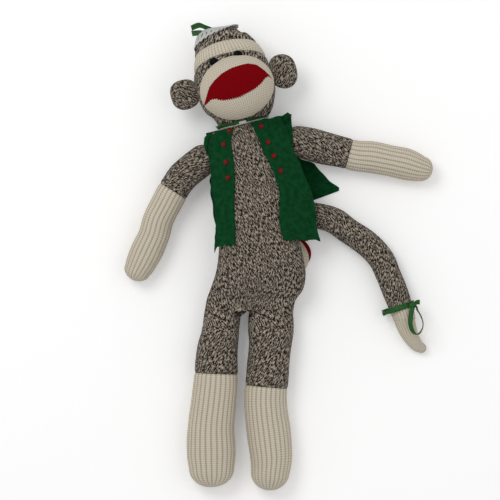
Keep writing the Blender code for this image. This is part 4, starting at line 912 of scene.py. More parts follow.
class DOLL_OT_torso(DollOperator, bpy.types.Operator):
    """Make the torso and the tops of both legs as one stuffed marl skin"""

    bl_idname = "doll.torso"
    bl_label = "Torso"

    def make(self, knit, trim, stage):
        """Three stuffed tubes are joined by a voxel remesh, smoothed where the legs part, and pushed out by lumps.

        The knit's columns run along the doll: u = angle round the body's middle line
        times its mean radius, v = distance along it.
        """
        rows = smooth_path(lying_rows(TORSO_SHARES, torso_place, TORSO_WIDTH, TORSO_DEPTH), 0.002)
        hem = torso_place(VEST_HEM_SHARE, 0)[1]
        floor = (trim.felt + CLEARANCE) / (1 + np.exp(-(rows[:, 1] - hem) / 0.003))
        straight = rows.copy()
        straight[:, 0] = 0
        rings, run, full = stuffed_rings(straight, 120, floor=floor)
        rings[..., 0] += np.interp(rings[..., 1], rows[::-1, 1], rows[::-1, 0])
        trunk = tube_mesh("torso_tube", rings, np.zeros((1, 121)), run[:, None])
        seam = NECK - HEAD_UP * (RIBBON_WIDTH / 2 + 2 * CLEARANCE)
        halve(trunk, seam, HEAD_UP)
        crotch = torso_place(LIMBS["leg"]["root"]["left"][0], 0)[1] + 0.0085
        halve(trunk, (0, crotch, 0), (0, -1, 0))
        bm = bmesh.new()
        bm.from_mesh(trunk)
        for side in SIDES:
            leg, run, joint_run = limb_rows("leg", side)
            stub = leg[run <= 0.015]
            rings, run, full = stuffed_rings(stub, 64, root_cap=0.030, cap_steps=8)
            bm.from_mesh(tube_mesh("leg_stub", rings, np.zeros((1, 65)), run[:, None]))
        joined = bpy.data.meshes.new("torso_skin")
        bm.to_mesh(joined)
        bm.free()
        skin = bpy.data.objects.new("torso_skin", joined)
        bpy.context.collection.objects.link(skin)
        remesh = skin.modifiers.new("knit_skin", "REMESH")
        remesh.mode = "VOXEL"
        remesh.voxel_size = 0.0014
        relax = skin.modifiers.new("relax", "SMOOTH")
        relax.iterations = 6
        depsgraph = bpy.context.evaluated_depsgraph_get()
        mesh = bpy.data.meshes.new_from_object(skin.evaluated_get(depsgraph))
        skin.modifiers.clear()
        skin.data = mesh
        hip = torso_place(1.0, 0)[1]
        points = vertices(mesh)
        legs = [LIMBS["leg"]["root"][side][1] * TORSO_WIDTH for side in SIDES]
        fork = sum(legs) / 2
        pairs = np.empty(len(mesh.edges) * 2, dtype=np.int32)
        mesh.edges.foreach_get("vertices", pairs)
        pairs = pairs.reshape(-1, 2)
        count = np.bincount(pairs.reshape(-1), minlength=len(points))[:, None]
        share = np.exp(-((points[:, 1] - hip - 0.011) / 0.014) ** 2)
        share *= 1 - 0.85 * np.exp(-((points[:, 0] - fork) / 0.007) ** 2 - ((points[:, 1] - hip - 0.004) / 0.012) ** 2)
        for _ in range(16):
            total = np.stack([np.bincount(pairs[:, 0], points[pairs[:, 1], k], len(points))
                              + np.bincount(pairs[:, 1], points[pairs[:, 0], k], len(points))
                              for k in range(3)], axis=1)
            points += (total / count - points) * 0.5 * share[:, None]
        gap = (legs[0] + LEG_RADIUS, legs[1] - 1.22 * LEG_RADIUS)
        web = np.clip((gap[1] - points[:, 0]) / (gap[1] - gap[0]), 0, 1)
        web *= np.exp(-(np.clip(gap[0] - points[:, 0], 0, 1) / 0.002) ** 2 - ((points[:, 1] - crotch) / 0.0035) ** 2)
        points[:, 1] -= 0.0065 * web
        move_vertices(mesh, points)
        mesh.update()
        normals = np.empty(len(points) * 3, dtype=np.float32)
        mesh.vertex_normals.foreach_get("vector", normals)
        normals = normals.reshape(-1, 3)
        low = np.where(points[:, 1] > hem, trim.felt + CLEARANCE, 0)
        off_floor = np.clip((points[:, 2] - low) / 0.004, 0, 1) * np.clip((points[:, 1] - hip + 0.002) / 0.01, 0, 1)
        points += normals * (knit.lump * 1.3 * unevenness(points, 0.045, 5) * off_floor)[:, None]
        points[:, 2] = np.maximum(points[:, 2], 0)
        move_vertices(mesh, points)
        order = np.argsort(rows[:, 1])
        centre_x = np.interp(points[:, 1], rows[order, 1], rows[order, 0])
        centre_z = np.interp(points[:, 1], rows[order, 1], rows[order, 2])
        corners = corner_vertices(mesh)
        corner = points[corners].reshape(-1, 4, 3)
        middle_x, middle_z = (values[corners].reshape(-1, 4) for values in (centre_x, centre_z))
        below = (corner[..., 1].mean(axis=1) < crotch + 0.002)[:, None]
        leg_x = np.where(corner[..., 0].mean(axis=1) < fork, *legs)[:, None]
        middle_x = np.where(below, leg_x, middle_x)
        middle_z = np.where(below, LIMBS["leg"]["root_z"], middle_z)
        u = np.arctan2(corner[..., 0] - middle_x, corner[..., 2] - middle_z)
        u = np.where((np.ptp(u, axis=1) > math.pi)[:, None] & (u < 0), u + 2 * math.pi, u)
        u = u * np.where(below, LEG_RADIUS, 0.042)
        uv = np.stack([u, corner[..., 1]], axis=-1)
        layer = mesh.uv_layers.new(name="knit")
        layer.data.foreach_set("uv", uv.astype(np.float32).reshape(-1))
        mesh.materials.clear()
        mesh.materials.append(material_for("Brown marl sock knit"))
        mesh.shade_smooth()
        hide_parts("torso")
        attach(skin, "trunk")


class DOLL_OT_arms(DollOperator, bpy.types.Operator):
    """Make both arms with their cream hands"""

    bl_idname = "doll.arms"
    bl_label = "Arms and hands"

    def make(self, knit, trim, stage):
        """Left and right arm as stuffed tubes."""
        for side in SIDES:
            limb_pieces("arm", side, knit)


class DOLL_OT_legs(DollOperator, bpy.types.Operator):
    """Make both legs with their cream feet"""

    bl_idname = "doll.legs"
    bl_label = "Legs and feet"

    def make(self, knit, trim, stage):
        """Left and right leg as stuffed tubes."""
        for side in SIDES:
            limb_pieces("leg", side, knit)


def tail_rows():
    """Rows of the whole tail, its run length, and the run length of its joint before the tip."""
    root = torso_place(*TAIL_ROOT_SHARE)
    end_z = TAIL_SHARES[-1][3] * TAIL_RADIUS + 0.0022
    upper = limb_path(TAIL_SHARES, root, TAIL_LENGTH, TAIL_RADIUS, TAIL_RADIUS + TAIL_LIFT, end_z)
    lower = limb_path(TIP_SHARES, upper[-1], TAIL_TIP_LENGTH, TAIL_RADIUS, end_z,
                      TIP_SHARES[-1][3] * TAIL_RADIUS)
    return path_with_joint(np.vstack([upper, lower[1:]]), upper[-1])


class DOLL_OT_tail(DollOperator, bpy.types.Operator):
    """Make the tail with its cream tip"""

    bl_idname = "doll.tail"
    bl_label = "Tail"

    def make(self, knit, trim, stage):
        """One stuffed tube, curled in plan, parted under the ribbon."""
        rows, run, joint_run = tail_rows()
        seam = int(np.argmin(np.abs(run - joint_run + 0.0085)))
        heading = unit([*(rows[seam + 3, :2] - rows[seam - 3, :2]), 0])
        columns = 96
        rings, length_run, full = stuffed_rings(rows[:seam + 1], columns, root_cap=TAIL_RADIUS,
                                                       tip_cap=SEAM_CAP, cap_steps=8)
        rings = seam_pinch(rings, rows[seam, :3], heading)
        rings = knit_relief(rings, np.maximum(full, 0.6), lump=knit.lump * 0.8, seed=31)
        u = np.arange(columns + 1) / columns * 2 * math.pi * TAIL_RADIUS
        mesh = tube_mesh("tail_skin", rings, u[None, :], length_run[:, None])
        skin = add_piece("tail_skin", mesh, "Brown marl sock knit", replaces=("tail",))
        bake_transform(skin)
        ribs = 22
        columns = ribs * SAMPLES_PER_RIB
        tip_cap = TIP_SHARES[-1][2] * TAIL_RADIUS
        rings, length_run, full = stuffed_rings(rows[seam:], columns, root_cap=SEAM_CAP, tip_cap=tip_cap,
                                                       cap_steps=12)
        rings = seam_pinch(rings, rows[seam, :3], heading)
        rings = knit_relief(rings, np.where(length_run < 0.01, 1, full), ribs=ribs, rib_height=knit.rib_height * 0.25,
                            lump=knit.lump * 0.5, seed=32)
        u = np.arange(columns + 1) / SAMPLES_PER_RIB * knit.fine_rib - knit.fine_rib / 2
        mesh = tube_mesh("tail_tip_skin", rings, u[None, :], length_run[:, None])
        tip = add_piece("tail_tip_skin", mesh, "Cream fine rib knit", replaces=("tail_tip",))
        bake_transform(tip)


class DOLL_OT_seat(DollOperator, bpy.types.Operator):
    """Make the red heel at the back of the seat and the cream knit round it"""

    bl_idname = "doll.seat"
    bl_label = "Seat heel"

    def make(self, knit, trim, stage):
        """Two ellipsoids, x = a cos(t) cos(s), y = b cos(t) sin(s), z = c sin(t), pressed on the floor."""
        centre = torso_place(*SEAT_SHARE, SEAT_RADII[2] * SEAT_RISE_SHARE)
        for name, middle, radii, material, slot in (
                ("seat_border", centre, np.array(SEAT_RADII), "Cream fine rib knit", "cream_rib_knit"),
                ("seat_patch", centre + np.array(SEAT_INSET), np.array(SEAT_RADII) - SEAT_BORDER, "Red heel knit",
                 "red_knit")):
            t = np.radians(np.linspace(-88, 88, 40))[:, None]
            s = (np.arange(96) * 2 * math.pi / 96)[None, :]
            unit_points = np.stack([np.cos(t) * np.cos(s), np.cos(t) * np.sin(s), np.sin(t) + 0 * s], axis=-1)
            rings = middle + unit_points * radii
            rings = knit_relief(rings, np.cos(t[:, 0]), lump=knit.lump * 0.5, seed=41)
            rings[..., 2] = (rings[..., 2] + np.sqrt(rings[..., 2] ** 2 + 0.0006 ** 2)) / 2
            u = (np.arange(97) * 2 * math.pi / 96 * radii[1])[None, :]
            mesh = tube_mesh(name + "_skin", rings, u, t * radii[0])
            skin = add_piece(name + "_skin", mesh, material, "trunk", (name,))


def head_rings(columns, spacing=0.0014):
    """Rings of the whole stuffed head with its cap, from the neck to the crown."""
    rows = smooth_path(lying_rows(HEAD_SHARES, head_place, HEAD_WIDTH, HEAD_DEPTH), spacing)
    return stuffed_rings(rows, columns, tip_cap=HEAD_CAP_SHARE * HEAD_HEIGHT, cap_steps=16)


class DOLL_OT_head(DollOperator, bpy.types.Operator):
    """Make the head, the cream cap band and the crown"""

    bl_idname = "doll.head"
    bl_label = "Head and cap"

    def make(self, knit, trim, stage):
        """One stuffed form parted by two pitched planes, drawn in along both and below the neck ribbon."""
        pitch = math.radians(CAP_PITCH)
        normal = HEAD_UP * math.cos(pitch) - np.array([0, 0, math.sin(pitch)])
        bottom = head_place(BAND_BOTTOM_SHARE, 0, HEAD_DEPTH / 2)
        top = head_place(BAND_TOP_SHARE, 0, HEAD_DEPTH / 2)
        columns = 180
        rings, run, full = head_rings(columns)
        for point in (bottom, top):
            rings = seam_pinch(rings, point, normal, depth=0.0013, width=0.0022)
        rings = knit_relief(rings, full, lump=knit.lump, seed=51)
        u = np.arange(columns + 1) / columns * 30 * knit.rib
        seam = NECK - HEAD_UP * (RIBBON_WIDTH / 2)
        for name, low, high, material, slot in (
                ("head", None, bottom, "Brown marl sock knit", "brown_marl_knit"),
                ("cap_band", bottom, top, "Cream fine rib knit", "cream_rib_knit"),
                ("cap_crown", top, None, "Brown marl sock knit, stretched", "brown_marl_knit")):
            mesh = tube_mesh(name + "_skin", rings, u[None, :], run[:, None])
            halve(mesh, seam, -HEAD_UP)
            if high is not None:
                halve(mesh, high, normal)
            if low is not None:
                halve(mesh, low, -normal)
            skin = add_piece(name + "_skin", mesh, material, "head_body", (name,))


MUZZLE_CENTRE = head_place(MUZZLE_SHARE[0], MUZZLE_SHARE[1], HEAD_DEPTH - MUZZLE_DEPTH / 8)
MUZZLE_SIDE = np.array([math.cos(math.radians(MUZZLE_TILT)), math.sin(math.radians(MUZZLE_TILT)), 0.0])
MUZZLE_UP = np.array([-MUZZLE_SIDE[1], MUZZLE_SIDE[0], 0.0])


def muzzle_point(x, y, z):
    """World point of the muzzle's ellipsoid from a point of the unit ball."""
    return (MUZZLE_CENTRE + MUZZLE_SIDE * (MUZZLE_WIDTH / 2 * x)[..., None]
            + MUZZLE_UP * (MUZZLE_HEIGHT / 2 * y)[..., None]
            + UPWARDS * (MUZZLE_DEPTH / 2 * z)[..., None])


class DOLL_OT_muzzle(DollOperator, bpy.types.Operator):
    """Make the stuffed cream muzzle and its red mouth"""

    bl_idname = "doll.muzzle"
    bl_label = "Muzzle and mouth"

    def make(self, knit, trim, stage):
        """The muzzle is an ellipsoid of rings square to its up line; the mouth is a lens on its front.

        The lens runs between an upper and a lower edge, both functions of the place
        across; a zigzag of teeth is added to each, deeper on the lower one. It stands
        proud by a cushion h * (1 - (2t - 1)^10), and its rim sinks under the muzzle's skin.
        """
        columns = 160
        t = np.radians(np.linspace(-88, 88, 100))[:, None]
        s = ((np.arange(columns) + 0.5) * 2 * math.pi / columns - math.pi / 2)[None, :]
        rings = muzzle_point(np.cos(t) * np.cos(s), np.sin(t) + 0 * s, np.cos(t) * np.sin(s))
        rings = knit_relief(rings, np.cos(t[:, 0]), lump=knit.lump * 0.7, seed=61)
        rings[..., 2] = np.maximum(rings[..., 2], HEAD_DEPTH * 0.4)
        u = (np.arange(columns + 1) / columns * math.pi * MUZZLE_WIDTH)[None, :]
        v = t * MUZZLE_HEIGHT / 2
        mesh = tube_mesh("muzzle_skin", rings, u, v)
        layer = mesh.uv_layers["knit"]
        points = vertices(mesh)
        away = points[corner_vertices(mesh)] - MUZZLE_CENTRE
        behind = MUZZLE_DEPTH * 0.16
        spread = (MUZZLE_DEPTH / 2 + behind) * np.arctan2(away @ MUZZLE_SIDE, away[:, 2] + behind)
        flat = np.stack([spread, away @ MUZZLE_UP], axis=-1)
        layer.data.foreach_set("uv", flat.astype(np.float32).reshape(-1))
        skin = add_piece("muzzle_skin", mesh, "Cream fine rib knit", "head_body", ("muzzle",))

        outline = np.array(MOUTH_SHARES)
        right = int(np.argmax(outline[:, 0]))
        upper = outline[:right + 1]
        lower = np.vstack([outline[right:], outline[:1]])[::-1]
        x = np.linspace(outline[0, 0], outline[right, 0], 220)
        tooth = 0.0024 / MUZZLE_WIDTH
        zigzag = np.abs((x / tooth) % 1 - 0.5) * 2
        inside = np.sin(np.pi * (x - x[0]) / (x[-1] - x[0])) ** 0.5
        high = np.interp(x, upper[:, 0], upper[:, 1]) + 0.008 * (zigzag - 0.5) * inside
        low = np.interp(x, lower[:, 0], lower[:, 1]) - 0.030 * zigzag * inside
        t = np.linspace(0, 1, 60)[:, None]
        y = low + (high - low) * t
        ball_x, ball_y = np.broadcast_to(2 * x, y.shape), 2 * y
        reach = np.hypot(ball_x, ball_y)
        shrink = np.minimum(1, 0.985 / np.maximum(reach, 1e-9))
        ball_x, ball_y = ball_x * shrink, ball_y * shrink
        ball_z = np.sqrt(np.maximum(1 - ball_x ** 2 - ball_y ** 2, 0))
        cushion = 0.0010 * (1 - (2 * t - 1) ** 10) * inside[None, :] ** 0.3 - 0.0002
        grid = muzzle_point(ball_x, ball_y, ball_z)
        outward = grid - MUZZLE_CENTRE
        outward /= np.linalg.norm(outward, axis=-1, keepdims=True)
        grid = grid + outward * cushion[..., None]
        uv = np.stack([ball_x * MUZZLE_WIDTH / 2, ball_y * MUZZLE_HEIGHT / 2], axis=-1)
        mesh = sheet_mesh("mouth_skin", grid, uv)
        mouth = add_piece("mouth_skin", mesh, "Red heel knit", "head_body", ("mouth",))
        wall = mouth.modifiers.new("wall", "SOLIDIFY")
        wall.thickness = 0.0012
        wall.offset = -1.0


def node_centre(name):
    """Middle of a CAD node's box."""
    low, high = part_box(name)
    return (np.array(low) + np.array(high)) / 2


def dome_mesh(name, centre, axis, side, radii, rows=16, columns=28):
    """Ellipsoid about a centre: its third radius lies along the axis and its first along the side."""
    axis = unit(axis)
    side = unit(np.asarray(side) - axis * np.dot(side, axis))
    third = np.cross(axis, side)
    t = np.radians(np.linspace(-86, 86, rows))[:, None]
    s = (np.arange(columns) * 2 * math.pi / columns)[None, :]
    rings = (np.asarray(centre) + side * (radii[0] * np.cos(t) * np.cos(s))[..., None]
             + third * (radii[1] * np.cos(t) * np.sin(s))[..., None]
             + axis * (radii[2] * (np.sin(t) + 0 * s))[..., None])
    u = (np.arange(columns + 1) / columns * 2 * math.pi * radii[0])[None, :]
    return tube_mesh(name, rings, u, t * radii[2])


class DOLL_OT_eyes(DollOperator, bpy.types.Operator):
    """Make the two black oval eyes"""

    bl_idname = "doll.eyes"
    bl_label = "Eyes"

    def make(self, knit, trim, stage):
        """Ellipsoids half sunk in the face, turned to its surface."""
        rings, run, full = head_rings(90, 0.003)
        normals = ring_normals(rings).reshape(-1, 3)
        points = rings.reshape(-1, 3)
        for side, share in EYE_SHARES.items():
            place = head_place(share[0], share[1], 0)
            front = points[:, 2] > HEAD_DEPTH / 2
            away = np.linalg.norm(points[:, :2] - place[:2], axis=1) + np.where(front, 0, 1)
            nearest = int(np.argmin(away))
            centre = np.array([place[0], place[1], points[nearest, 2]]) + normals[nearest] * 0.0003
            mesh = dome_mesh(f"eye_{side}_dome", centre, normals[nearest], HEAD_SIDE,
                             (EYE_WIDTH / 2, EYE_HEIGHT / 2, EYE_DOME))
            add_piece(f"eye_{side}_dome", mesh, "Black glass eye", "head_body", (f"eye_{side}",))


class DOLL_OT_ears(DollOperator, bpy.types.Operator):
    """Make the two stuffed ears"""

    bl_idname = "doll.ears"
    bl_label = "Ears"

    def make(self, knit, trim, stage):
        """Flat stuffed discs gathered at the root.

        Along the reach t the half height is H * sin(angle)^0.75 and the thickness swells
        with sin(angle)^0.8; the front is dished by a share of the thickness.
        """
        for side, sign in (("left", -1), ("right", 1)):
            outward = HEAD_SIDE * sign
            hinge = np.array([joint["pos_m"] for joint in frame["joints"] if joint["name"] == f"{side}_ear_fold"][0],
                             dtype=float)
            hinge = hinge - sign * HEAD_UP * 0.0030 - outward * 0.0016
            reach_of = EAR_SPAN * (0.93 if side == "left" else 0.90)
            tall = EAR_HEIGHT * (0.95 if side == "left" else 1.06)
            angle = np.radians(np.concatenate([[172], np.linspace(160, 3, 44)]))
            swell = np.sin(angle)
            reach = reach_of * (1 + np.cos(angle)) / 2 - 0.0035
            half = np.maximum(tall / 2 * swell ** 0.75, 0)
            half = np.where(angle > math.pi / 2, np.maximum(half, EAR_HEIGHT * 0.19), half)
            thick = EAR_THICKNESS / 2 * swell ** 0.8
            thick = np.where(angle > math.pi / 2, np.maximum(thick, 0.0028), thick)
            columns = 96
            turn = (np.arange(columns) * 2 * math.pi / columns)[None, :]
            dish = 1 - 0.45 * (1 - np.cos(turn) ** 2) * (swell[:, None] ** 3) * (np.sin(turn) > 0)
            rings = (hinge + outward * reach[:, None, None] + HEAD_UP * (half[:, None] * np.cos(turn))[..., None]
                     + UPWARDS * (thick[:, None] * np.sin(turn) * dish)[..., None])
            rings = knit_relief(rings, swell, lump=knit.lump * 1.2, seed=71 + sign)
            u = (np.arange(columns + 1) / columns * 2.2 * EAR_HEIGHT)[None, :]
            mesh = tube_mesh(f"ear_{side}_skin", rings, u, reach[:, None] * 1.3)
            skin = add_piece(f"ear_{side}_skin", mesh, "Brown marl sock knit",
                             replaces=(f"ear_{side}",))
            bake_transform(skin)


def skin_heights(cell=0.002):
    """Top surface of the skins under the vest, as places and heights on a coarse grid."""
    names = ("torso_skin", "arm_left_skin", "arm_right_skin", "tail_skin")
    points = np.vstack([vertices(bpy.data.objects[name].data) for name in names])
    keys = np.round(points[:, :2] / cell).astype(int)
    order = np.lexsort((-points[:, 2], keys[:, 1], keys[:, 0]))
    keys, points = keys[order], points[order]
    first = np.concatenate([[True], np.any(np.diff(keys, axis=0) != 0, axis=1)])
    return points[first]


def drape(grid, below, slope=DRAPE_SLOPE, gap=0.0009):
    """Height of a stiff cloth at each place of a grid: the lowest surface over the points below that is
    nowhere steeper than the slope, max(height - slope * distance) + gap."""
    flat = grid.reshape(-1, 3)[:, :2]
    low, high = flat.min(axis=0) - 0.02, flat.max(axis=0) + 0.02
    near = below[np.all((below[:, :2] > low) & (below[:, :2] < high), axis=1)]
    away = np.sqrt((flat[:, None, 0] - near[None, :, 0]) ** 2 + (flat[:, None, 1] - near[None, :, 1]) ** 2)
    heights = np.max(near[None, :, 2] - slope * np.maximum(away - 0.001, 0), axis=1) + gap
    return heights.reshape(grid.shape[:2])


def eased(values, times):
    """Values on a grid smoothed with their neighbours, never below where they were."""
    result = values.copy()
    for _ in range(times):
        padded = np.pad(result, 1, mode="edge")
        mean = (padded[:-2, 1:-1] + padded[2:, 1:-1] + padded[1:-1, :-2] + padded[1:-1, 2:]) / 4
        result = np.maximum(values, mean)
    return result


def seam_height(side, x):
    """Height of one front panel's shoulder seam at a place across the body."""
    inner, outer = FRONT_ROW_SHARES[side][0][1], FRONT_ROW_SHARES[side][0][3]
    start, end = SEAM_HEIGHTS[side]
    return start + (end - start) * (x / TORSO_WIDTH - inner) / (outer - inner)


def felt_sheet(name, grid, trim, slot_body, replaces, keep=None):
    """Cut felt over a grid of places, with its wall on the upper side and soft uneven cut edges."""
    steps = [np.linalg.norm(np.diff(grid, axis=axis), axis=-1) for axis in (0, 1)]
    v = np.concatenate([np.zeros((1, grid.shape[1])), np.cumsum(steps[0], axis=0)]).mean(axis=1)
    u = np.concatenate([np.zeros((grid.shape[0], 1)), np.cumsum(steps[1], axis=1)], axis=1)
    uv = np.stack([u, np.broadcast_to(v[:, None], u.shape)], axis=-1)
    across = np.cross(np.diff(grid[:-1], axis=1), np.diff(grid[:, :-1], axis=0))
    if np.sum(across[..., 2]) < 0:
        grid, uv = grid[::-1], uv[::-1]
        keep = None if keep is None else keep[::-1]
    mesh = sheet_mesh(name, grid, uv, keep)
    sheet = add_piece(name, mesh, "Green craft felt", slot_body, replaces)
    wall = sheet.modifiers.new("felt", "SOLIDIFY")
    wall.thickness = trim.felt
    wall.offset = 1.0
    round_edge = sheet.modifiers.new("cut_edge", "BEVEL")
    round_edge.width = trim.felt * 0.3
    round_edge.segments = 2
    round_edge.limit_method = "ANGLE"
    round_edge.angle_limit = math.radians(60)
    area = sum(polygon.area for polygon in mesh.polygons)
    return sheet, area


TOP_EDGES = {
    "places": [0, 0.10, 0.33, 0.46, 0.62, 0.78, 0.92, 1.0],
    "left": [0.0010, 0.0, 0.0004, -0.0003, 0.0006, -0.0030, 0.0010, -0.0016],
    "right": [0.0, 0.0005, 0.0022, 0.0, 0.0014, 0.0004, 0.0030, -0.0024],
}


def front_grid(side, trim, below, rows=96, columns=34):
    """Places of one front panel: its inner and outer edges follow smooth curves, and it is draped between.

    Folds are added as fold * (1 + sin) / 2 across the panel and deepen down it. A
    valley beside the armhole sinks towards the skins, tuck * exp(-((t - valley) / w)^2).
    The hem and both edges waver, and the left hem's outer corner hangs lower.
    """
    table = np.array(FRONT_ROW_SHARES[side])
    inner = smooth_path(np.column_stack([torso_place(table[:, 0], table[:, 1])[:, :2]]), 0.001)
    outer = smooth_path(np.column_stack([torso_place(table[:, 2], table[:, 3])[:, :2]]), 0.001)
    down = np.linspace(0, 1, rows)
    inner = np.stack([np.interp(down, np.linspace(0, 1, len(inner)), inner[:, k]) for k in (0, 1)], axis=-1)
    outer = np.stack([np.interp(down, np.linspace(0, 1, len(outer)), outer[:, k]) for k in (0, 1)], axis=-1)
    t = np.linspace(0, 1, columns)[None, :, None]
    flat = inner[:, None] + (outer - inner)[:, None] * t
    phase = 0.7 if side == "left" else 2.1
    edge = (2 * t[..., 0] - 1) ** 4
    waver = 0.00025 * np.sin(down * 31 + phase) + 0.00018 * np.sin(down * 93 + 2 * phase)
    flat[..., 0] += waver[:, None] * edge
    hem = np.clip((down - 0.9) / 0.1, 0, 1)[:, None] ** 2
    top = np.exp(-(down / 0.05) ** 2)[:, None]
    flat[..., 1] += top * np.interp(t[..., 0], TOP_EDGES["places"], TOP_EDGES[side])
    if side == "left":
        flat[..., 1] -= hem * 0.0075 * np.clip((t[..., 0] - 0.70) / 0.30, 0, 1) ** 2
    flat[..., 1] += hem * (0.0008 * np.sin(t[..., 0] * 15 + phase) - 0.0003 * np.sin(t[..., 0] * 34))
    grid = np.concatenate([flat, np.zeros(flat.shape[:2] + (1,))], axis=-1)
    height = eased(drape(grid, below), 30)
    seam = seam_height(side, grid[..., 0])
    leave = np.clip(down / 0.07, 0, 1)[:, None]
    leave = leave * leave * (3 - 2 * leave)
    height = seam * (1 - leave) + np.maximum(height, np.minimum(seam, height)) * leave
    fade = np.clip(1 - down / 0.28, 0, 1)[:, None] ** 0.7
    valley = 0.74 + 0.24 * np.clip(down / 0.26, 0, 1)[:, None]
    tuck = 0.0055 * np.exp(-((t[..., 0] - valley) / 0.06) ** 2) + 0.003 * np.clip((t[..., 0] - valley) / 0.26, 0, 1)
    height = np.maximum(height - tuck * fade, np.minimum(height, drape(grid, below, slope=2.5)))
    folds = (1 + np.sin(2 * math.pi * (2.4 * t[..., 0] + 0.5 * down[:, None]) + phase)) / 2
    grid[..., 2] = height + trim.fold * folds * np.clip((down - 0.1) / 0.5, 0, 1)[:, None]
    return grid


class DOLL_OT_vest_fronts(DollOperator, bpy.types.Operator):
    """Make the two felt front panels of the vest and their beads"""

    bl_idname = "doll.vest_fronts"
    bl_label = "Vest fronts and beads"

    def make(self, knit, trim, stage):
        """Draped sheets, and ellipsoid beads half sunk in the felt."""
        below = skin_heights()
        turns = np.random.default_rng(7).uniform(-25, 25, 8)
        for side in SIDES:
            grid = front_grid(side, trim, below)
            sheet, area = felt_sheet(f"vest_front_{side}_felt", grid, trim, f"{side}_vest_front",
                                     (f"vest_front_{side}",))
            points = grid.reshape(-1, 3)
            normal = np.cross(np.gradient(grid, axis=1), np.gradient(grid, axis=0)).reshape(-1, 3)
            normal *= np.where(normal[:, 2:] < 0, -1, 1)
            for number, share in enumerate(BEAD_SHARES[side], start=1):
                place = torso_place(*share)
                nearest = int(np.argmin(np.linalg.norm(points[:, :2] - place[:2], axis=1)))
                up = unit(normal[nearest])
                seat = np.array([place[0], place[1], points[nearest, 2]]) + up * (trim.felt + 0.0004)
                turn = math.radians(70 + turns[number + (4 if side == "right" else 0) - 1])
                name = f"bead_{side}_{number}"
                mesh = dome_mesh(name + "_glass", seat, up, (math.cos(turn), math.sin(turn), 0),
                                 (BEAD_DIAMETER * 0.49, BEAD_DIAMETER * 0.41, BEAD_DOME * 0.9), 14, 24)
                add_piece(name + "_glass", mesh, "Red glass bead", f"{side}_vest_front", (name,))


class DOLL_OT_vest_back(DollOperator, bpy.types.Operator):
    """Make the vest's back panel with its two shoulder straps"""

    bl_idname = "doll.vest_back"
    bl_label = "Vest back"

    def make(self, knit, trim, stage):
        """A sheet between two edge curves: flat under the doll, with straps that rise to the shoulder seams."""
        table = np.array(BACK_ROW_SHARES)
        left = torso_place(table[:, 0], table[:, 1], table[:, 4] * TORSO_DEPTH)
        right = torso_place(table[:, 2], table[:, 3], table[:, 4] * TORSO_DEPTH)
        steps = BACK_STEPS * (len(table) - 1) + 1
        left, right = smooth_curve(left, steps), smooth_curve(right, steps)
        share = np.linspace(0, 1, 101)
        grid = left[:, None] + (right - left)[:, None] * share[None, :, None]
        top = grid[-1].copy()
        sides = np.where(top[:, 0] < 0, "left", "right")
        top[:, 2] = [seam_height(side, x) - 0.0008 for side, x in zip(sides, top[:, 0])]
        rise = np.linspace(0, 1, 10)[1:, None, None]
        grid = np.concatenate([grid, grid[-1] + (top - grid[-1]) * rise])
        grid[..., 2] = np.maximum(grid[..., 2], 0)
        edge = (2 * share - 1) ** 6
        waver = 0.0006 * np.sin(np.arange(len(grid)) * 0.55) * np.exp(-grid[:, :1, 2] / 0.01)[:, 0]
        grid[..., 0] += waver[:, None] * edge
        rows = np.arange(len(grid) - 1)[:, None]
        strap_row = BACK_STEPS * (len(table) + 1 - STRAP_ROWS)
        middle = (share[:-1] + share[1:]) / 2
        start, end = (BACK_COLUMN_SHARES[column] for column in STRAP_COLUMNS)
        open_neck = (middle > start) & (middle < end)
        keep = ~((rows >= strap_row) & open_neck[None, :])
        sheet, area = felt_sheet("vest_back_felt", grid, trim, "trunk", ("vest_back",), keep)


def band_mesh(name, centre, up, radii, width, flare=0.0, columns=160, rows=7, sway=0.0, pinch=(), tuck=0.0):
    """Ribbon closed round an oval: point = centre + radii * (cos a, sin a) + up * width * (t - 1/2).

    flare leans it outwards along up; sway ripples it with slow waves; each pinch is
    an angle in degrees where the ribbon narrows and twists. tuck draws its left side in.
    """
    up = unit(up)
    side = unit(np.array([up[1], -up[0], 0.0]))
    a = (np.arange(columns) * 2 * math.pi / columns)[:, None]
    t = np.linspace(-0.5, 0.5, rows)[None, :]
    narrow = np.ones_like(a)
    for place in pinch:
        away = (np.degrees(a) - place + 180) % 360 - 180
        narrow = narrow * (1 - 0.45 * np.exp(-(away / 9.0) ** 2))
    ripple = sway * (np.sin(5 * a + 4 * t) + 0.6 * np.sin(9 * a - 5 * t + 1.0))
    swell = 1 + 2 * flare * t
    ripple = ripple - tuck / (1 + np.exp((np.cos(a) + 0.10) / 0.06))
    across = (radii[0] * swell + ripple) * np.cos(a)
    high = (radii[1] * swell + ripple) * np.sin(a)
    lift = width * t * narrow
    grid = centre + side * across[..., None] + UPWARDS * high[..., None] + up * lift[..., None]
    grid = np.concatenate([grid, grid[:1]])
    turned = np.linspace(0, 2 * math.pi, columns + 1)[:, None] * radii[0]
    uv = np.stack(np.broadcast_arrays(turned, t * width), axis=-1)
    mesh = sheet_mesh(name, grid, uv)
    weld(mesh, outward=True)
    return mesh


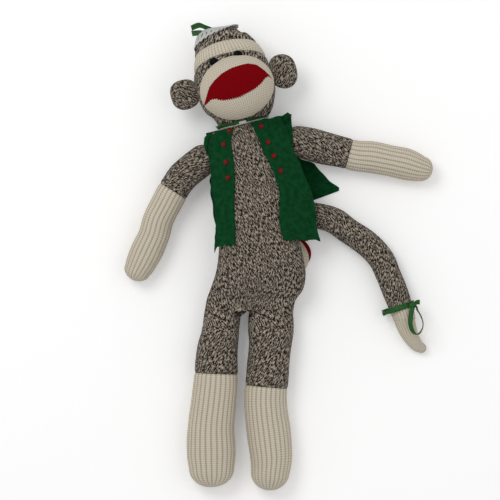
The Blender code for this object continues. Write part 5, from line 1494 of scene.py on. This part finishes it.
def strip_mesh(name, path, across, width, steps=60, rows=7, cup=0.0):
    """Ribbon along a smooth path: point = path + across * width * (t - 1/2), cupped by cup * (1 - 4 t^2)."""
    table = smooth_curve(np.column_stack([path, across]), steps)
    line, side = table[:, :3], table[:, 3:]
    side /= np.linalg.norm(side, axis=1)[:, None]
    along = np.gradient(line, axis=0)
    face = np.cross(along, side)
    face /= np.linalg.norm(face, axis=1)[:, None]
    t = np.linspace(-0.5, 0.5, rows)
    grid = (line[:, None] + side[:, None] * (width * t)[None, :, None]
            + face[:, None] * (cup * (1 - 4 * t ** 2))[None, :, None])
    run = run_along(line)
    uv = np.stack(np.broadcast_arrays(run[:, None], (width * t)[None, :]), axis=-1)
    return sheet_mesh(name, grid, uv)


def thin_wall(obj, thickness):
    """Give an open ribbon its thickness, half to each side."""
    wall = obj.modifiers.new("wall", "SOLIDIFY")
    wall.thickness = thickness
    wall.offset = 0.0


class DOLL_OT_neck_ribbons(DollOperator, bpy.types.Operator):
    """Make the satin ribbon round the neck, the white tie over it and the tie's knot"""

    bl_idname = "doll.neck_ribbons"
    bl_label = "Neck ribbons"

    def make(self, knit, trim, stage):
        """Closed bands round the oval neck, narrowed where they twist, and a small pulled knot."""
        along, across, half, back, front = HEAD_SHARES[1]
        centre = head_place(along, across, (back + front) / 2 * HEAD_DEPTH) - HEAD_UP * 0.0014
        radii = (half * HEAD_WIDTH + 0.0013, (front - back) / 2 * HEAD_DEPTH + 0.0022)
        mesh = band_mesh("neck_ribbon_satin", centre, HEAD_UP, radii, RIBBON_WIDTH, 0.06, sway=0.00035,
                         pinch=(62, 118, 84))
        ribbon = add_piece(mesh.name, mesh, "Green satin ribbon", "head_body", ("neck_ribbon",))
        thin_wall(ribbon, RIBBON_THICKNESS)
        lower = centre - HEAD_UP * ((RIBBON_WIDTH - TIE_WIDTH) / 2 - 0.0004)
        wide = (radii[0] + 0.0006, radii[1] + 0.0009)
        mesh = band_mesh("neck_tie_cord", lower, HEAD_UP, wide, TIE_WIDTH * 0.6, 0.02, sway=0.0004, rows=5,
                         pinch=(70, 105), tuck=0.0013)
        tie = add_piece(mesh.name, mesh, "White cotton tie", "head_body", ("neck_tie",))
        thin_wall(tie, RIBBON_THICKNESS)
        place = node_centre("neck_knot") - HEAD_UP * 0.0006 + np.array([0, 0, 0.0016])
        mesh = dome_mesh("neck_knot_pulled", place, (0, 0, 1), HEAD_SIDE, (0.0042, 0.0022, 0.0017), 18, 32)
        points = vertices(mesh)
        away = (points - place) @ HEAD_SIDE
        waist = 0.62 + 0.38 * np.clip(np.abs(away) / 0.0026, 0, 1) ** 2
        points[:, 2] = place[2] + (points[:, 2] - place[2]) * waist
        drop = (points - place) @ HEAD_UP
        points += HEAD_UP * (drop * (waist - 1))[:, None]
        move_vertices(mesh, points)
        add_piece(mesh.name, mesh, "White cotton tie", "head_body", ("neck_knot",))


class DOLL_OT_crown_trim(DollOperator, bpy.types.Operator):
    """Make the lace over the crown and the two ribbon ends beside it"""

    bl_idname = "doll.crown_trim"
    bl_label = "Crown lace and ribbon"

    def make(self, knit, trim, stage):
        """The lace follows the crown from its top down to a plane, with a scalloped edge:

        edge = plane + scallop * |sin(n a / 2)|; its eyelets are rows of missing cells. On
        one side the edge stands away from the head in a soft point.
        """
        columns = 240
        rings, run, full = head_rings(columns, 0.001)
        rings = rings + ring_normals(rings) * 0.0010
        turned = math.radians(15.0)
        heading = np.array([HEAD_UP[0] * math.cos(turned) - HEAD_UP[1] * math.sin(turned),
                            HEAD_UP[0] * math.sin(turned) + HEAD_UP[1] * math.cos(turned), 0.0])
        pitch = math.radians(12.0)
        plane = heading * math.cos(pitch) - np.array([0, 0, math.sin(pitch)])
        edge = head_place(LACE_SHARE[0], LACE_SHARE[1], HEAD_DEPTH / 2)
        inside = (rings - edge) @ plane
        turns = np.arange(columns) * 2 * math.pi / columns
        scallop = -0.0016 * np.abs(np.sin(turns * 13))
        places = np.array([np.interp(scallop[j], inside[:, j], np.arange(len(rings))) for j in range(columns)])
        t = np.linspace(0, 1, 34)[:, None]
        index = places[None, :] + (len(rings) - 1 - places[None, :]) * t
        low = np.minimum(index.astype(int), len(rings) - 2)
        part = (index - low)[..., None]
        across = np.broadcast_to(np.arange(columns), low.shape)
        grid = rings[low, across] * (1 - part) + rings[low + 1, across] * part
        outward = grid - grid.mean(axis=1, keepdims=True)
        outward /= np.maximum(np.linalg.norm(outward, axis=-1, keepdims=True), 1e-9)
        right = np.exp(-((outward @ HEAD_SIDE - 1) / 0.30) ** 2) * (outward[..., 2] > -0.3)
        flare = right * (1 - t) ** 1.5
        ripple = 0.0006 * np.sin(turns * 26)[None, :] * (1 - t) ** 2
        grid = grid + outward * (0.0034 * flare + ripple)[..., None] + HEAD_UP * (0.0008 * flare)[..., None]
        grid = np.concatenate([grid, grid[:, :1]], axis=1)
        wrap = np.linspace(0, 2 * math.pi * 0.025, columns + 1)[None, :]
        uv = np.stack(np.broadcast_arrays(wrap, t * 0.02), axis=-1)
        cell_t = np.arange(33)[:, None]
        cell_a = np.arange(columns)[None, :]
        eyelet = ((cell_a % 9) < 3) & ((cell_t == 4) | (cell_t == 5) | (cell_t == 6))
        small = ((cell_a % 5) < 2) & ((cell_t % 4) == 1) & (cell_t > 9) & (cell_t < 26)
        mesh = sheet_mesh("crown_lace_net", grid, uv, ~(eyelet | small))
        weld(mesh)
        lace = add_piece(mesh.name, mesh, "Off-white cotton lace", "head_body", ("crown_lace",))
        thin_wall(lace, 0.0005)
        for name, shares in CROWN_RIBBON_SHARES.items():
            table = np.array(shares)
            path = head_place(table[:, 0], table[:, 1], table[:, 2] * HEAD_DEPTH)
            lean = 0.35 if name == "upper" else -0.25
            side = np.tile(HEAD_UP + np.array([0, 0, lean]), (len(path), 1))
            mesh = strip_mesh(f"crown_ribbon_{name}_satin", path, side, RIBBON_WIDTH, cup=0.0004)
            strip = add_piece(mesh.name, mesh, "Green satin ribbon", "head_body",
                              (f"crown_ribbon_{name}",))
            thin_wall(strip, RIBBON_THICKNESS)


class DOLL_OT_tail_bow(DollOperator, bpy.types.Operator):
    """Make the ribbon tied round the tail with its knot, loop and loose end"""

    bl_idname = "doll.tail_bow"
    bl_label = "Tail ribbon"

    def make(self, knit, trim, stage):
        """A loose closed band, a pulled knot, and two strips that leave it."""
        rows, run, joint_run = tail_rows()
        at = int(np.argmin(np.abs(run - joint_run)))
        heading = unit([*(rows[at + 3, :2] - rows[at - 3, :2]), 0])
        low, high = (np.array(corner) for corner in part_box("tail_ribbon"))
        centre = (low + high) / 2
        side = np.array([-heading[1], heading[0], 0.0])
        reach = (high - low) / 2
        half = (reach[0] - abs(heading[0]) * RIBBON_WIDTH / 2) / max(abs(side[0]), 0.1)
        mesh = band_mesh("tail_ribbon_satin", centre, heading, (half, reach[2] - 0.0003), RIBBON_WIDTH,
                         sway=0.0003, pinch=(40, 140))
        band = add_piece(mesh.name, mesh, "Green satin ribbon", "tail_root", ("tail_ribbon",))
        thin_wall(band, RIBBON_THICKNESS)
        place = node_centre("tail_knot")
        mesh = dome_mesh("tail_knot_pulled", place, (0, 0, 1), side, (0.0046, 0.0038, 0.0025), 16, 28)
        add_piece(mesh.name, mesh, "Green satin ribbon", "tail_root", ("tail_knot",))
        for name, shares in (("tail_loop", LOOP_SHARES), ("tail_ribbon_end", RIBBON_END_SHARES)):
            table = np.array(shares, dtype=float)
            path = place + table[:, :3] * np.array([TAIL_TIP_LENGTH, TAIL_TIP_LENGTH, RIBBON_WIDTH])
            lean = np.radians(table[:, 3])
            across = np.stack([np.cos(lean), 0 * lean, np.sin(lean)], axis=-1)
            if name == "tail_ribbon_end":
                across = np.tile([0.0, 1.0, 0.25], (len(path), 1))
            path, across = np.vstack([place, path]), np.vstack([across[:1], across])
            if name == "tail_loop":
                path, across = np.vstack([path, place]), np.vstack([across, across[-1:]])
            mesh = strip_mesh(name + "_satin", path, across, RIBBON_WIDTH * 0.85, steps=90, cup=0.0003)
            strip = add_piece(mesh.name, mesh, "Green satin ribbon", "tail_root", (name,))
            thin_wall(strip, RIBBON_THICKNESS)


class DOLL_OT_stage(DollOperator, bpy.types.Operator):
    """Make the pale floor, the soft lamps and the camera straight above"""

    bl_idname = "doll.stage"
    bl_label = "Stage"

    def make(self, knit, trim, stage):
        """One flat floor, one even sky, two broad lamps and a long lens over the doll."""
        scene = bpy.context.scene
        scene.view_settings.view_transform = "Standard"
        side = 3.0
        mesh = bpy.data.meshes.new("floor")
        mesh.from_pydata([(-side, -side, -0.0002), (side, -side, -0.0002), (side, side, -0.0002),
                          (-side, side, -0.0002)], [], [(0, 1, 2, 3)])
        floor = bpy.data.objects.new("floor", mesh)
        bpy.context.collection.objects.link(floor)
        mesh.materials.append(self.paper(stage))
        world = bpy.data.worlds.new("soft_sky")
        scene.world = world
        world.use_nodes = True
        tree = world.node_tree
        tree.nodes.clear()
        path = tree.nodes.new("ShaderNodeLightPath")
        seen = add_node(tree, "ShaderNodeMath", {0: path.outputs["Is Camera Ray"], 1: path.outputs["Is Glossy Ray"]},
                        operation="MAXIMUM")
        clear = add_node(tree, "ShaderNodeMath", {0: seen, 1: path.outputs["Is Transmission Ray"]},
                         operation="MAXIMUM")
        strength = add_node(tree, "ShaderNodeMapRange", {"Value": clear, "To Min": 0.62 * stage.light, "To Max": 1.0})
        sky = add_node(tree, "ShaderNodeBackground", {"Color": (1, 1, 1, 1), "Strength": strength})
        add_node(tree, "ShaderNodeOutputWorld", {"Surface": sky})
        for name, place, size, power in (("key", (-0.75, 0.75, 1.7), 0.9, 11.0), ("fill", (0.9, 0.1, 1.5), 1.2, 2.5)):
            lamp = bpy.data.lights.new(name, "AREA")
            lamp.size = size
            lamp.energy = power * stage.light
            obj = bpy.data.objects.new(name, lamp)
            obj.location = place
            obj.rotation_mode = "QUATERNION"
            obj.rotation_quaternion = (Vector((0, -0.06, 0)) - Vector(place)).to_track_quat("-Z", "Y")
            bpy.context.collection.objects.link(obj)
        camera = bpy.data.cameras.new("camera")
        obj = bpy.data.objects.new("camera", camera)
        middle = 0.03
        camera.sensor_width = 36.0
        camera.lens = camera.sensor_width * (stage.camera_height - middle) / stage.view_width
        camera.clip_start = 0.1
        camera.clip_end = 20.0
        obj.location = (-0.00555, -0.0666, stage.camera_height)
        bpy.context.collection.objects.link(obj)
        scene.camera = obj

    def paper(self, stage):
        """Seamless studio paper: matt white with the faintest grain."""
        material, tree, shader = new_material("White studio paper", 0.9, Specular_IOR_Level=0.1)
        place = add_node(tree, "ShaderNodeTexCoord", output="Object")
        grain = add_node(tree, "ShaderNodeTexNoise", {"Vector": place, "Scale": 900.0, "Detail": 2.0})
        tone = add_node(tree, "ShaderNodeMapRange", {"Value": grain, "To Min": 0.985, "To Max": 1.0})
        tint = add_node(tree, "ShaderNodeVectorMath", {0: stage.floor[:3], 1: tone}, operation="MULTIPLY")
        tree.links.new(tint, shader.inputs["Base Color"])
        path = tree.nodes.new("ShaderNodeLightPath")
        glow = add_node(tree, "ShaderNodeMath", {0: path.outputs["Is Camera Ray"], 1: 0.12}, operation="MULTIPLY")
        tree.links.new(glow, shader.inputs["Emission Strength"])
        shader.inputs["Emission Color"].default_value = stage.floor
        return material


OPERATORS = (
    DOLL_OT_stage, DOLL_OT_torso, DOLL_OT_arms, DOLL_OT_legs, DOLL_OT_tail, DOLL_OT_seat, DOLL_OT_head,
    DOLL_OT_muzzle, DOLL_OT_eyes, DOLL_OT_ears, DOLL_OT_vest_fronts, DOLL_OT_vest_back, DOLL_OT_neck_ribbons,
    DOLL_OT_crown_trim, DOLL_OT_tail_bow,
)


class DOLL_PT_panel(bpy.types.Panel):
    """Lists the doll's settings and the pieces that can be made"""

    bl_idname = "DOLL_PT_panel"
    bl_label = "Sock Monkey Doll"
    bl_space_type = "VIEW_3D"
    bl_region_type = "UI"
    bl_category = "Doll"

    def draw(self, context):
        for group in (context.scene.doll_knit, context.scene.doll_trim, context.scene.doll_stage):
            box = self.layout.box()
            for name in group.bl_rna.properties.keys():
                if name not in ("rna_type", "name"):
                    box.prop(group, name)
        for operator in OPERATORS:
            self.layout.operator(operator.bl_idname)


CLASSES = (DollKnit, DollTrim, DollStage, *OPERATORS, DOLL_PT_panel)
GROUPS = {"doll_knit": DollKnit, "doll_trim": DollTrim, "doll_stage": DollStage}


def register():
    """Register the classes and hang the settings on the scene."""
    for item in CLASSES:
        bpy.utils.register_class(item)
    for name, group in GROUPS.items():
        setattr(bpy.types.Scene, name, PointerProperty(type=group))


def unregister():
    """Take the settings and the classes away again."""
    for name in GROUPS:
        delattr(bpy.types.Scene, name)
    for item in reversed(CLASSES):
        bpy.utils.unregister_class(item)


def main():
    """Make the stage and every piece in order."""
    register()
    for operator in OPERATORS:
        group, name = operator.bl_idname.split(".")
        getattr(getattr(bpy.ops, group), name)()


if __name__ == "__main__":
    main()
